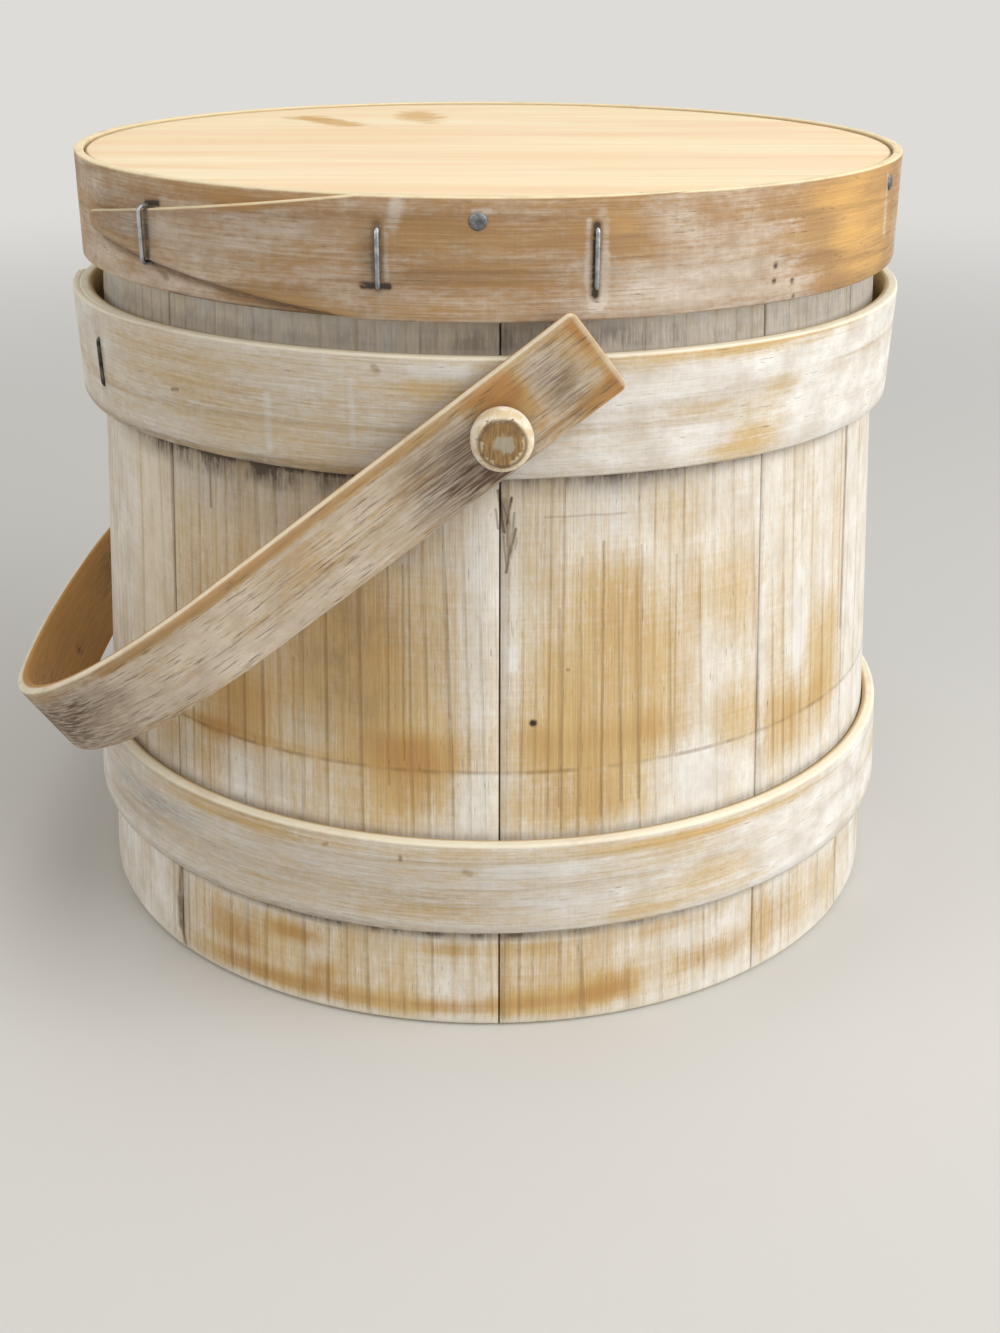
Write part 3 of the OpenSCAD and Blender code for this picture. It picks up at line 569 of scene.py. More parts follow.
def lapped_strip(name, strip, ease, finish, uneven, top_share=0.6, tip_high=0.0):
    """The whole strip: once round under its own end, and the tongue that laps over it."""
    start, tip, full = strip["start"], strip["tip"], strip["full"]
    low, high = strip["low"], strip["high"]
    middle = (low + high) / 2
    # The ring's two ends meet under the tongue, a hairline of 0.07 mm apart
    round_az = np.linspace(start - 6, start + 353.97, 541)
    ring = bent_strip(
        name + "_ring", round_az, low + uneven(round_az), high + top_share * uneven(round_az + 40),
        lambda az, z: ring_face(strip, z) - strip["thick"], lambda az, z: ring_face(strip, z) + 0 * az,
        ease, middle, finish, log=low * 3,
    )
    tongue_az = np.concatenate([tip + np.array([0, 0.15, 0.35, 0.6, 1.0]), np.linspace(tip + 1.6, start, 150)])
    share = np.clip((full - tongue_az) / (full - tip), 0, 1)
    blunt = 0.09 * (high - low)
    corner = 1.3 * (1 - np.sqrt(1 - (1 - np.clip((tongue_az - tip) / 1.0, 0, 1)) ** 2))
    bottom = low + uneven(tongue_az) + share * (middle + tip_high - blunt - low) + corner
    top = high + top_share * uneven(tongue_az + 40) + share * (middle + tip_high + blunt - high) - corner
    tongue = bent_strip(
        name + "_tongue", tongue_az, bottom, top,
        lambda az, z: ring_face(strip, z) - 0.5, lambda az, z: lap_face(strip, az, z),
        ease, middle, finish, log=low * 3,
    )
    return joined(name, [ring, tongue])


# Whitewashed ash: the brush marks and open pores run round the tub. The marks are two nicks in
# the lower hoop, and dabs of thicker paint across the grain of the upper one.
hoop_finish = whitewashed(
    "whitewashed_ash", ("#dcc08a", "#cdab6e", "#d9a957"), "#8d6f45", ("#d2cbc1", "#f0eee9"), cover=0.50,
    ring_mm=11, patch=1.2, streak=0.7, fibre=0.8, saw=0.2, grit=0.9, patch_mm=(46, 9), ring_depth=0.3,
    pores=0.12, edge="#f4ebd3", back="#cbae7c",
    dark_marks=[
        (-12.1, 55.6, -12.1, 56.8, 0.5, 0.45), (-4.2, 53, -3.6, 52.4, 0.9, 0.3), (-44, 180.4, -42.8, 180.8, 0.5, 0.45),
        (-14.6, 194, -14.2, 193, 0.8, 0.35), (-22, 57, -21.6, 57.6, 0.5, 0.35),
    ],
    pale_marks=[
        (-28.5, 170, -28.5, 184, 1.0, 0.35), (-17.5, 173, -17.5, 190, 0.8, 0.25), (-10, 193.5, -4, 193.5, 1.2, 0.4),
        (-2, 53, 8, 53, 1.3, 0.3),
    ],
)
upper_ring = lapped_strip("ash_upper_hoop", upper_hoop, 0.8, hoop_finish,
                          lambda az: 0.25 * np.sin(np.radians(3 * az + 20)) + 0.12 * np.sin(np.radians(7 * az)))
turned, height = round_the_tub(upper_ring)
rubbed(upper_ring, "wear", turned, height, [
    (-30, 180, 36, 40, 0.46), (-45, 186, 12, 5, 0.16), (-7, 189, 6, 3, 0.45), (-38, 176, 8, 6, 0.14),
    (30, 195.2, 20, 1.9, 1.15), (31, 169, 6.5, 4, 0.75), (33, 177, 6, 7, 0.52), (37.5, 184, 3.5, 3, 0.60),
    (24, 180, 4, 2, 0.55), (27, 173, 3, 4, -0.3), (-9, 194, 5, 2, -0.3), (46, 178, 8, 14, -0.1), (-20, 166.5, 16, 1.6, 0.2),
    (95, 176, 14, 6, 0.5), (150, 180, 16, 7, 0.4), (-150, 176, 14, 7, 0.45), (-95, 185, 12, 6, 0.4),
])
# Dark at the first staple, painted shade along the lower edge, and a broad darker patch on the front left
rubbed(upper_ring, "soil_and_shade", turned, height, [
    (-61.5, 181, 1.2, 9, 0.55), (0, 165, 999, 0.9, 0.5), (-28, 180, 42, 30, 0.25),
])
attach(upper_ring, "bucket")
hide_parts("upper_hoop")
lower_ring = lapped_strip("ash_lower_hoop", lower_hoop, 0.9, hoop_finish,
                          lambda az: 0.2 * np.sin(np.radians(2 * az + 70)) + 0.12 * np.sin(np.radians(5 * az + 10)))
turned, height = round_the_tub(lower_ring)
rubbed(lower_ring, "wear", turned, height, [
    (-20, 46, 36, 40, 0.36), (-38, 58.4, 16, 2.2, 0.62), (-14, 58.6, 10, 1.8, 0.35), (29, 58.2, 22, 2.0, 0.90),
    (29, 44, 6, 4, 0.48), (20, 36, 7, 2.6, 0.55), (22, 54, 8, 4, 0.25), (5, 53, 6, 1.4, -0.3),
    (-6, 41, 10, 3, 0.2), (34, 36, 6, 2, 0.5), (22, 44, 10, 12, 0.2), (80, 48, 14, 6, 0.5), (130, 50, 12, 6, 0.4), (-120, 46, 16, 6, 0.5),
    (-160, 52, 12, 5, 0.4),
])
# Painted shade along the lower edge, and darker patches on the left and the front left
rubbed(lower_ring, "soil_and_shade", turned, height, [
    (0, 33.2, 999, 0.9, 0.55), (-57, 49, 14, 3, 0.35), (-52, 52.5, 9, 1.2, 0.25), (-60, 42, 10, 3, 0.25), (-24, 46, 44, 16, 0.33),
])
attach(lower_ring, "bucket")
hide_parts("lower_hoop")


# Hoop staples: round steel wire, bent to a U, driven through both plies of a lap from
# outside. They are upright, three to a lap, and dull and dark with old oxide.
def steel(name, light, dark, roughness, metallic=1.0):
    """Bare steel that has dulled in blotches of about 1.5 mm."""
    made = bpy.data.materials.new(name)
    made.use_nodes = True
    tree = made.node_tree
    shader = tree.nodes["Principled BSDF"]
    place = add(tree, "ShaderNodeTexCoord").outputs["Object"]
    blot = add(tree, "ShaderNodeTexNoise", {"Vector": place, "Scale": 420.0, "Detail": 3, "Roughness": 0.55})
    share = add(tree, "ShaderNodeMapRange", {"Value": blot, "From Min": 0.38, "From Max": 0.62})
    colour = add(tree, "ShaderNodeMix", {0: share, 6: paint(light), 7: paint(dark)}, data_type="RGBA")
    tree.links.new(colour.outputs[2], shader.inputs["Base Color"])
    rough = add(tree, "ShaderNodeMapRange", {"Value": blot, "To Min": roughness - 0.1, "To Max": roughness + 0.2})
    tree.links.new(rough.outputs[0], shader.inputs["Roughness"])
    shader.inputs["Metallic"].default_value = metallic
    bump = add(tree, "ShaderNodeBump", {"Height": blot, "Strength": 0.2, "Distance": 0.0001})
    tree.links.new(bump.outputs[0], shader.inputs["Normal"])
    return made


staple_tree = bpy.data.node_groups.new("wire_staples", "GeometryNodeTree")
for label, kind in (("Points", "Geometry"), ("Height", "Float"), ("Leg", "Float"), ("Wire Radius", "Float"),
                    ("Finish", "Material")):
    staple_tree.interface.new_socket(label, in_out="INPUT", socket_type="NodeSocket" + kind)
staple_tree.interface.new_socket("Geometry", in_out="OUTPUT", socket_type="NodeSocketGeometry")
given = add(staple_tree, "NodeGroupInput").outputs
wire = add(staple_tree, "GeometryNodeCurvePrimitiveLine", {"End": (0, 0, 1)})
wire = add(staple_tree, "GeometryNodeResampleCurve", {"Curve": wire, "Count": 4})
index = add(staple_tree, "GeometryNodeInputIndex")
from_middle = add(staple_tree, "ShaderNodeMath", {0: index, 1: 1.5}, operation="SUBTRACT")
upper = add(staple_tree, "ShaderNodeMath", {0: from_middle}, operation="SIGN")
far = add(staple_tree, "ShaderNodeMath", {0: from_middle}, operation="ABSOLUTE")
at_end = add(staple_tree, "ShaderNodeMath", {0: far, 1: 1.0}, operation="GREATER_THAN")
sunk = add(staple_tree, "ShaderNodeMath", {0: at_end, 1: given["Leg"]}, operation="MULTIPLY")
leg_x = add(staple_tree, "ShaderNodeMath", {0: 0.00025, 1: sunk}, operation="SUBTRACT")
half_wire = add(staple_tree, "ShaderNodeMath", {0: given["Height"], 1: 0.5}, operation="MULTIPLY")
leg_z = add(staple_tree, "ShaderNodeMath", {0: upper, 1: half_wire}, operation="MULTIPLY")
bend_at = add(staple_tree, "ShaderNodeCombineXYZ", {"X": leg_x, "Z": leg_z})
wire = add(staple_tree, "GeometryNodeSetPosition", {"Geometry": wire, "Position": bend_at})
wire = add(staple_tree, "GeometryNodeFilletCurve", {"Curve": wire, "Radius": 0.0011, "Count": 4}, mode="POLY")
profile = add(staple_tree, "GeometryNodeCurvePrimitiveCircle", {"Resolution": 10, "Radius": given["Wire Radius"]})
wire = add(staple_tree, "GeometryNodeCurveToMesh", {"Curve": wire, "Profile Curve": profile, "Fill Caps": True})
turn_of = add(staple_tree, "GeometryNodeInputNamedAttribute", {"Name": "turn"}, data_type="FLOAT_VECTOR")
shape = add(staple_tree, "GeometryNodeInstanceOnPoints",
            {"Points": given["Points"], "Instance": wire, "Rotation": turn_of})
shape = add(staple_tree, "GeometryNodeRealizeInstances", {"Geometry": shape})
shape = add(staple_tree, "GeometryNodeSetShadeSmooth", {"Geometry": shape})
shape = add(staple_tree, "GeometryNodeSetMaterial", {"Geometry": shape, "Material": given["Finish"]})
add(staple_tree, "NodeGroupOutput", {0: shape})


def driven_points(name, spots):
    """Points where fasteners are driven in, each with its turn, from azimuth, radius, height and lean."""
    mesh = bpy.data.meshes.new(name)
    mesh.from_pydata([(r * math.sin(math.radians(az)) / 1000, -r * math.cos(math.radians(az)) / 1000, z / 1000)
                      for az, r, z, lean in spots], [], [])
    turns = mesh.attributes.new("turn", "FLOAT_VECTOR", "POINT")
    for k, (az, r, z, lean) in enumerate(spots):
        turns.data[k].vector = (0, lean, math.radians(az - 90))
    return mesh


dark_steel = steel("oxidised_steel_wire", "#6b665f", "#3d3833", 0.5)
for label, strip, places, node in (
    ("dark_staples_upper", upper_hoop, (-61.5, -91, -117), "upper_hoop_staples"),
    ("dark_staples_lower", lower_hoop, (158, 184, 211), "lower_hoop_staples"),
):
    z = (strip["low"] + strip["high"]) / 2
    lean = math.atan((strip["top"] - strip["foot"]) / (strip["high"] - strip["low"]))
    staples = grown(label, staple_tree, {"Height": 0.0137, "Leg": 0.0035, "Wire Radius": 0.00068, "Finish": dark_steel},
                    driven_points(label, [(az, float(lap_face(strip, az, z)), z, lean) for az in places]))
    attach(staples, "bucket")
    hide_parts(node)


# Pegs: a turned birch pin on each side goes through the bail, the hoop and a stave, and its
# knob holds the bail on. The knob's round side is worn to cream, with a painted highlight in that
# cream, and its underside next to the bail is painted dark as shade. Its flat end grain has
# gone brown, with a grey-green bloom in the middle.
peg_z = 178.9
peg_profile = [(108.807, 3.9), (109.4, 4.5), (132.4, 4.5), (133.0, 5.2), (133.06, 6.6), (133.35, 7.3), (134.1, 7.8),
               (135.6, 8.0), (137.4, 7.98), (138.8, 7.75), (139.9, 7.2), (140.6, 6.5), (140.98, 5.9),
               (141.1, 5.4), (141.16, 4.2), (141.18, 2.4), (141.2, 0.7)]
peg_finish = bpy.data.materials.new("turned_birch")
peg_finish.use_nodes = True
tree = peg_finish.node_tree
shader = tree.nodes["Principled BSDF"]
place = add(tree, "ShaderNodeTexCoord").outputs["Object"]
way = add(tree, "ShaderNodeSeparateXYZ", {0: place})
out = add(tree, "ShaderNodeMath", {0: way.outputs["Y"]}, operation="ABSOLUTE")
from_axis = add(tree, "ShaderNodeVectorMath", {0: place, 1: (0, 0, peg_z / 1000)}, operation="SUBTRACT")
from_axis = add(tree, "ShaderNodeVectorMath", {0: from_axis, 1: (1, 0, 1)}, operation="MULTIPLY")
from_axis = add(tree, "ShaderNodeVectorMath", {0: from_axis}, operation="LENGTH").outputs["Value"]
# Blots of about 3 mm, and fibres of 0.5 mm that run across the end grain
blot = add(tree, "ShaderNodeTexNoise", {"Vector": place, "Scale": 330.0, "Detail": 4, "Roughness": 0.6}).outputs["Fac"]
size = add(tree, "ShaderNodeVectorMath", {0: place, 1: (2000, 150, 260)}, operation="MULTIPLY")
fibre = add(tree, "ShaderNodeTexNoise", {"Vector": size, "Scale": 1.0, "Detail": 3}).outputs["Fac"]
# The round side: cream wood and a painted highlight, with ochre blots
ochre = add(tree, "ShaderNodeMapRange", {"Value": blot, "From Min": 0.43, "From Max": 0.58, "To Max": 0.7})
side = add(tree, "ShaderNodeMix", {0: ochre, 6: paint("#e8dfce"), 7: paint("#cbb07d")}, data_type="RGBA")
# The knob's underside, next to the bail, darker: painted shade
foot = add(tree, "ShaderNodeMapRange", {"Value": out, "From Min": 0.1350, "From Max": 0.1336, "To Max": 0.7})
side = add(tree, "ShaderNodeMix", {0: foot, 6: side.outputs[2], 7: paint("#6f5638")}, data_type="RGBA")
brown = add(tree, "ShaderNodeMapRange", {"Value": fibre, "From Min": 0.35, "From Max": 0.65})
end = add(tree, "ShaderNodeMix", {0: brown, 6: paint("#7b5f3c"), 7: paint("#9f7d4b")}, data_type="RGBA")
rubbed_out = add(tree, "ShaderNodeMath", {0: blot, 1: 0.009, 2: from_axis}, operation="MULTIPLY_ADD")
bloom = add(tree, "ShaderNodeMapRange", {"Value": rubbed_out, "From Min": 0.0071, "From Max": 0.0061, "To Max": 0.55})
end = add(tree, "ShaderNodeMix", {0: bloom, 6: end.outputs[2], 7: paint("#b3b2a2")}, data_type="RGBA")
inner = add(tree, "ShaderNodeMapRange", {"Value": from_axis, "From Min": 0.0049, "From Max": 0.0057})
outer = add(tree, "ShaderNodeMapRange", {"Value": from_axis, "From Min": 0.0066, "From Max": 0.0059})
rim_line = add(tree, "ShaderNodeMath", {0: inner, 1: outer}, operation="MULTIPLY")
rim_line = add(tree, "ShaderNodeMath", {0: rim_line, 1: 0.8}, operation="MULTIPLY")
flat_end = add(tree, "ShaderNodeMapRange", {"Value": rubbed_out, "From Min": 0.0109, "From Max": 0.0101})
facing_out = add(tree, "ShaderNodeMath", {0: out, 1: 0.1398}, operation="GREATER_THAN")
flat_end = add(tree, "ShaderNodeMath", {0: flat_end, 1: facing_out}, operation="MULTIPLY")
rim_line = add(tree, "ShaderNodeMath", {0: rim_line, 1: facing_out}, operation="MULTIPLY")
colour = add(tree, "ShaderNodeMix", {0: flat_end, 6: side.outputs[2], 7: end.outputs[2]}, data_type="RGBA")
colour = add(tree, "ShaderNodeMix", {0: rim_line, 6: colour.outputs[2], 7: paint("#6b5237")}, data_type="RGBA")
tree.links.new(colour.outputs[2], shader.inputs["Base Color"])
rough = add(tree, "ShaderNodeMapRange", {"Value": blot, "To Min": 0.5, "To Max": 0.75})
tree.links.new(rough.outputs[0], shader.inputs["Roughness"])
bump = add(tree, "ShaderNodeBump", {"Height": fibre, "Strength": 0.5, "Distance": 0.0003})
tree.links.new(bump.outputs[0], shader.inputs["Normal"])
shader.inputs["IOR"].default_value = 1.45
for name, facing in (("birch_peg_front", -1), ("birch_peg_back", 1)):
    turned = np.radians(np.linspace(0, 360, 49)[:-1])
    out = np.array(peg_profile)[:, 0][:, None] + 0 * turned
    wide = np.array(peg_profile)[:, 1][:, None] + 0 * turned
    side, rise = wide * np.cos(turned), wide * np.sin(turned)
    loops = np.stack([side, facing * out, peg_z + rise], -1)
    peg = skin(name, loops, 0 * loops, peg_finish, flat_ends=False)
    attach(peg, "bucket")
    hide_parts(name.replace("birch_", ""))


# Bail: one long strap of ash, bent hot to a hoop-shaped handle and hung on the pegs by a hole
# near each end. Its whitewash is thin and greyish, open grain shows as long dark streaks, and
# hands have rubbed it to bare tan wood near the pegs, at the ends and along the upper edge.
bail_out, strap_t, strap_w, tail, peg_offset = 132.705, 4.0, 23.5, 32.4, 2.1
bend_r, far_bend_r, straight, far_centre, bend_y = 94.0, 350.0, 84.557, -168.5, 38.705
far_half = math.atan(bend_y / (straight - far_centre))
rest_tilt = math.radians(37.727)
path = [(tail - d, bail_out, 0.0, 1.0) for d in (0, 0.12, 0.35, 0.8, 1.4, 2.0)]
path += [(x, bail_out, 0.0, 1.0) for x in np.linspace(tail - 4, -straight + 2, 58)]
for cx, cy, r, a, b, steps in (
    (-straight, bend_y, bend_r, math.pi / 2, math.pi - far_half, 64),
    (-far_centre, 0.0, far_bend_r, math.pi - far_half, math.pi + far_half, 60),
    (-straight, -bend_y, bend_r, math.pi + far_half, 3 * math.pi / 2, 64),
):
    path += [(cx + r * math.cos(t), cy + r * math.sin(t), math.cos(t), math.sin(t))
             for t in np.linspace(a, b, steps)[1:]]
path += [(x, -bail_out, 0.0, -1.0) for x in np.linspace(-straight + 2, tail - 4, 58)]
path += [(tail - d, -bail_out, 0.0, -1.0) for d in (2.0, 1.4, 0.8, 0.35, 0.12, 0)]
path = np.array(path)
run = np.concatenate([[0], np.cumsum(np.hypot(*np.diff(path[:, :2], axis=0).T))])
total = run[-1]
from_end = np.minimum(run, total - run)
nip = 2.0 - np.sqrt(4.0 - (2.0 - np.clip(from_end, 0, 2.0)) ** 2)
low = (peg_offset - strap_w / 2 + nip)[:, None]
high = (peg_offset + strap_w / 2 - nip)[:, None]
section = rounded_section(rows=13, inner_rows=9)
soft = np.minimum(0.75, 0.4 + 0.5 * from_end)[:, None]
deep = section[:, 0] * strap_t + section[:, 1] * soft - strap_t
rise = low + section[:, 2] * (high - low) + section[:, 3] * soft
flat_x = path[:, 0][:, None] + deep * path[:, 2][:, None]
flat_y = path[:, 1][:, None] + deep * path[:, 3][:, None]
loops = np.stack([flat_x * math.cos(rest_tilt) - rise * math.sin(rest_tilt), flat_y,
                  peg_z + flat_x * math.sin(rest_tilt) + rise * math.cos(rest_tilt)], -1)
grain = np.stack([run[:, None] + 0 * rise, rise + 300, np.minimum(deep, 0)], -1)
# Thin, greyed whitewash over open-grained ash: its pores are dark dashes of 10 by 0.6 mm
bail_finish = whitewashed(
    "greyed_ash_strap", ("#ccab72", "#ba9257", "#b98442"), "#6b4c2e", ("#bdae9a", "#dbcebc"), cover=0.42,
    ring_mm=9, patch=1.5, streak=0.9, fibre=0.9, saw=0.1, grit=1.0, patch_mm=(30, 8), pore_mm=(10, 0.6),
    pores=0.29, ring_depth=0.3, smear=0.9, soft=0.5, grime_and_shade="#5f4a3a", edge="#f2e6cd", edge_mm=2.3, back="#bf8f4e",
)
bail = skin("ash_bail", loops, grain, bail_finish)
along = np.repeat(run, loops.shape[1])
across = (rise + 0 * run[:, None]).ravel()
# Places are given from the end, along the strap, and up from the line through the pegs
wear, soil_and_shade, bright = [], [], []
for end, way_in in ((0.0, 1.0), (total, -1.0)):
    def at_end(places):
        return [(end + way_in * s, *rest) for s, *rest in places]
    wear += at_end([
        (28, 8.5, 8, 5, 1.25), (24, 2, 4, 7, 0.6), (7, -7, 9, 3.4, 1.0), (1.6, 2, 2.2, 20, 0.7), (5, 8, 6, 6, 0.6),
        (78, 12.4, 48, 1.5, 0.85), (85, 2, 26, 6, 0.3), (130, 12.4, 30, 1.4, 0.6), (158, 12.2, 5, 1.6, 0.6), (13, 4, 4.5, 9, 0.06),
        (127, -2, 7, 6, -0.3), (92, 4, 12, 4, 0.22), (60, 5, 10, 3, 0.2), (20, -6, 5, 3, 0.3),
    ])
    soil_and_shade += at_end([
        (50, 0, 14, 11, 0.85), (44, -6, 9, 5, 0.4), (13, 2, 6, 9, 0.75), (36, -7, 8, 4, 0.6), (100, 2, 16, 8, 0.2),
        (214, 0, 44, 11, 0.9), (176, 6, 20, 5, 0.4), (165, -8, 20, 4, 0.3), (32.4, 0, 9.2, 9.2, 0.35),
    ])
    bright += at_end([(0.2, 2, 0.9, 20, 0.6)])
rubbed(bail, "wear", along, across, wear + [(total / 2, 12.2, 999, 1.2, 0.5), (total / 2, -9.4, 999, 0.9, 0.25)])
rubbed(bail, "soil_and_shade", along, across, soil_and_shade + [(total / 2, 0, 120, 11, 0.3), (313.6, -0.2, 2.5, 1.5, 0.9)])
# The bright layer: cream where the ends are sanded, and a painted highlight along the upper edge
rubbed(bail, "bright", along, across, bright + [(total / 2, 14.0, 9999, 0.75, 0.95)])
drill = skin("drill", np.stack([
    np.stack([4.58 * np.cos(np.radians(np.arange(0, 360, 7.5))), y + 0 * np.arange(48.0),
              peg_z + 4.58 * np.sin(np.radians(np.arange(0, 360, 7.5)))], -1) for y in (-150.0, 150.0)]),
    np.zeros((2, 48, 3)), bail_finish)
cut = bail.modifiers.new("holes", "BOOLEAN")
cut.object, cut.operation, cut.solver = drill, "DIFFERENCE", "EXACT"
ready = bpy.context.evaluated_depsgraph_get()
holed = bpy.data.meshes.new_from_object(bail.evaluated_get(ready), preserve_all_data_layers=True, depsgraph=ready)
bail.modifiers.clear()
bail.data = holed
bpy.data.objects.remove(drill)
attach(bail, "bail")
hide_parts("bail")


# Lid board: one round of pale, fine-grained pine with a thin clear coat, its edge just eased.
# It lies in the rim a little below the rim's edge, and has two ochre knots near the back left.
lid_finish, lid_colour = bare_pine("clear_coated_pine", "#f8eac8", "#f5deb6", "#dfb983", 16, 0.62, 0.3)
tree = lid_finish.node_tree
place = add(tree, "ShaderNodeTexCoord").outputs["Object"]
colour = lid_colour
# Broad peach streaks in the cream, 30 by 240 mm, along the grain
size = add(tree, "ShaderNodeVectorMath", {0: place, 1: (1000 / 240, 1000 / 30, 1000 / 30)}, operation="MULTIPLY")
blush = add(tree, "ShaderNodeTexNoise", {"Vector": size, "Scale": 1.0, "Detail": 3})
blush = add(tree, "ShaderNodeMapRange", {"Value": blush, "From Min": 0.44, "From Max": 0.64, "To Max": 0.6})
colour = add(tree, "ShaderNodeMix", {0: blush, 6: colour.outputs[2], 7: paint("#efc79d")}, data_type="RGBA")
for (x, y), (half_x, half_y), lean, hue, depth in (
    ((-0.0530, 0.0580), (0.026, 0.0080), -0.94, "#c7984e", 0.75), ((-0.0600, 0.0680), (0.010, 0.012), 0.3, "#c7984e", 0.5),
    ((-0.0225, 0.0740), (0.0100, 0.0260), 0.1, "#cfa25c", 0.75),
):
    knot = add(tree, "ShaderNodeMapping",
               {"Vector": place, "Location": (x, y, 0.2353), "Rotation": (0, 0, lean), "Scale": (half_x, half_y, 1)},
               vector_type="TEXTURE")
    rough_edge = add(tree, "ShaderNodeTexNoise", {"Vector": place, "Scale": 160.0, "Detail": 4})
    spread = add(tree, "ShaderNodeVectorMath", {0: knot}, operation="LENGTH")
    spread = add(tree, "ShaderNodeMath", {0: rough_edge, 1: 1.3, 2: spread.outputs["Value"]},
                 operation="MULTIPLY_ADD")
    stain = add(tree, "ShaderNodeMapRange", {"Value": spread, "From Min": 1.75, "From Max": 1.0, "To Max": depth},
                interpolation_type="SMOOTHSTEP")
    colour = add(tree, "ShaderNodeMix", {0: stain, 6: colour.outputs[2], 7: paint(hue)}, data_type="RGBA")
# A hairline of dirt where the board meets the rim
board_r, board_z, board_t = 122.137, 225.3, 10.0
flat = add(tree, "ShaderNodeVectorMath", {0: place, 1: (1, 1, 0)}, operation="MULTIPLY")
from_middle = add(tree, "ShaderNodeVectorMath", {0: flat}, operation="LENGTH")
seam = add(tree, "ShaderNodeMapRange", {"Value": from_middle.outputs["Value"], "From Min": (board_r - 1.1) / 1000,
                                        "From Max": (board_r - 0.5) / 1000, "To Max": 0.75})
colour = add(tree, "ShaderNodeMix", {0: seam, 6: colour.outputs[2], 7: paint("#7d5f36")}, data_type="RGBA")
tree.links.new(colour.outputs[2], tree.nodes["Principled BSDF"].inputs["Base Color"])
edge = [(board_z, 60), (board_z, 118), (board_z, board_r - 0.9), (board_z + 0.3, board_r - 0.25), (board_z + 1, board_r),
        (board_z + 9.0, board_r), (board_z + 9.6, board_r - 0.25), (board_z + 9.9, board_r - 0.75),
        (board_z + board_t, board_r - 1.5), (board_z + board_t, 112), (board_z + board_t, 90), (board_z + board_t, 60)]
turned = np.radians(np.linspace(0, 360, 181)[:-1])
wide = np.array(edge)[:, 1][:, None]
up = np.array(edge)[:, 0][:, None]
loops = np.stack([wide * np.sin(turned), -wide * np.cos(turned), up + 0 * turned], -1)
lid = skin("pine_lid_board", loops, 0 * loops, lid_finish)
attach(lid, "lid")
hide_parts("lid_board")


# Lid rim: a bentwood strip of ash round the board, nailed into its edge, its outer end cut to a
# long tongue that laps over to the left and is stapled. Its wash is thin, so it looks browner
# than the tub, greyish on the left and bare and orange on the right.
rim = {"low": 205.5, "high": 236.0, "foot": 122.287, "top": 122.287, "thick": 2.8,
       "lap": 2.6, "tip": -62, "full": -16, "start": 22}
# The marks are the slots that the staples have worn, painted dark as the shadow in them, the shadow
# under the tongue's lower edge, four tiny nail holes on the right, and pale dabs and a gouge where the paint is thicker
rim_finish = whitewashed(
    "worn_bentwood_ash", ("#bd9660", "#a97d49", "#ebb766"), "#674a2e", ("#b7a491", "#dccfc0"), cover=0.02,
    ring_mm=12, patch=1.9, streak=0.8, fibre=1.0, saw=0.15, grit=1.1, patch_mm=(34, 7), ring_depth=0.35, pores=0.15,
    pore_mm=(6, 0.8), edge="#f1e0b8", back="#d8bf92",
    dark_marks=[
        (-15.6, 214.3, -12.6, 214.3, 0.8, 0.9), (-13.8, 214, -13.8, 229, 1.3, 0.45), (10.6, 212, 10.6, 229, 1.2, 0.7),
        (-60, 217.2, -40, 211.6, 1.5, 0.46), (-40, 211.6, -20, 205.9, 1.3, 0.42), (-46.4, 213, -44.5, 210.6, 1.3, 0.4),
        (-46.4, 214, -46.2, 228, 1.2, 0.65), (-47.5, 228.6, -45, 229.2, 0.8, 0.8), (-44, 206.2, -20, 205.6, 0.6, 0.5),
        (35.1, 215.4, 35.1, 215.4, 0.8, 0.6), (35, 211.4, 35, 211.4, 0.8, 0.6), (38.2, 210.6, 38.2, 210.6, 0.8, 0.6),
        (38.6, 206.4, 38.6, 206.4, 0.6, 0.5),
    ],
    pale_marks=[
        (-12, 229, -11.3, 236, 1.6, 0.7), (9.7, 214, 9.7, 230, 0.8, 0.9), (11.7, 211, 11.7, 230, 1.0, 1.0),
        (10.6, 211.6, 10.8, 209.6, 1.7, 1.2), (11.2, 229.5, 11.2, 232, 1.2, 0.6), (-12.8, 216, -12.8, 228, 0.6, 0.5), (62.5, 216, 61.5, 232, 1.6, 1.0),
        (-3, 232.5, -1.5, 232.8, 0.8, 0.5),
    ],
)
lid_rim = lapped_strip(
    "ash_lid_rim", rim, 0.6, rim_finish,
    lambda az: 0.7 * np.exp(-(((az + 180) % 360 - 180 + 62) / 45) ** 2) + 0.1 * np.sin(np.radians(5 * az)),
    top_share=0.0)
turned, height = round_the_tub(lid_rim)
rubbed(lid_rim, "wear", turned, height, [
    (56, 222, 12, 30, 1.00), (44, 226, 9, 14, 0.40), (38, 231, 10, 6, 0.35), (0, 229, 16, 8, 0.40), (13, 229, 4, 7, 0.45),
    (-3, 218, 12, 11, 0.30), (15.5, 222, 3.5, 10, 0.18), (-28, 209.6, 7, 1.8, 0.6), (-28, 233, 9, 2.4, 0.5), (-22, 207, 5, 2, 0.6), (-36, 231.4, 8, 1.4, 0.6), (-38, 234.6, 6, 1.6, 0.6),
    (-38, 222, 16, 9, -0.14), (22, 212, 14, 6, -0.30), (30, 221, 12, 8, -0.25), (-50, 209, 12, 4, -0.35),
    (-56, 222, 5, 5, 0.3), (100, 220, 20, 9, 0.4), (170, 224, 20, 9, 0.4), (-110, 220, 16, 9, 0.4),
])
# Darker patches on the left, the front and at two staples, and painted shade along the lower edge
rubbed(lid_rim, "soil_and_shade", turned, height, [
    (-54, 224, 9, 8, 0.40), (-47, 221, 2.2, 9, 0.4), (-14.4, 221, 1.6, 8, 0.5), (0, 205.5, 999, 0.8, 0.4),
    (-30, 224, 24, 12, 0.24), (4, 222, 16, 12, 0.22), (-20, 208, 9, 3, 0.25),
])
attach(lid_rim, "lid")
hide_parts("lid_rim")


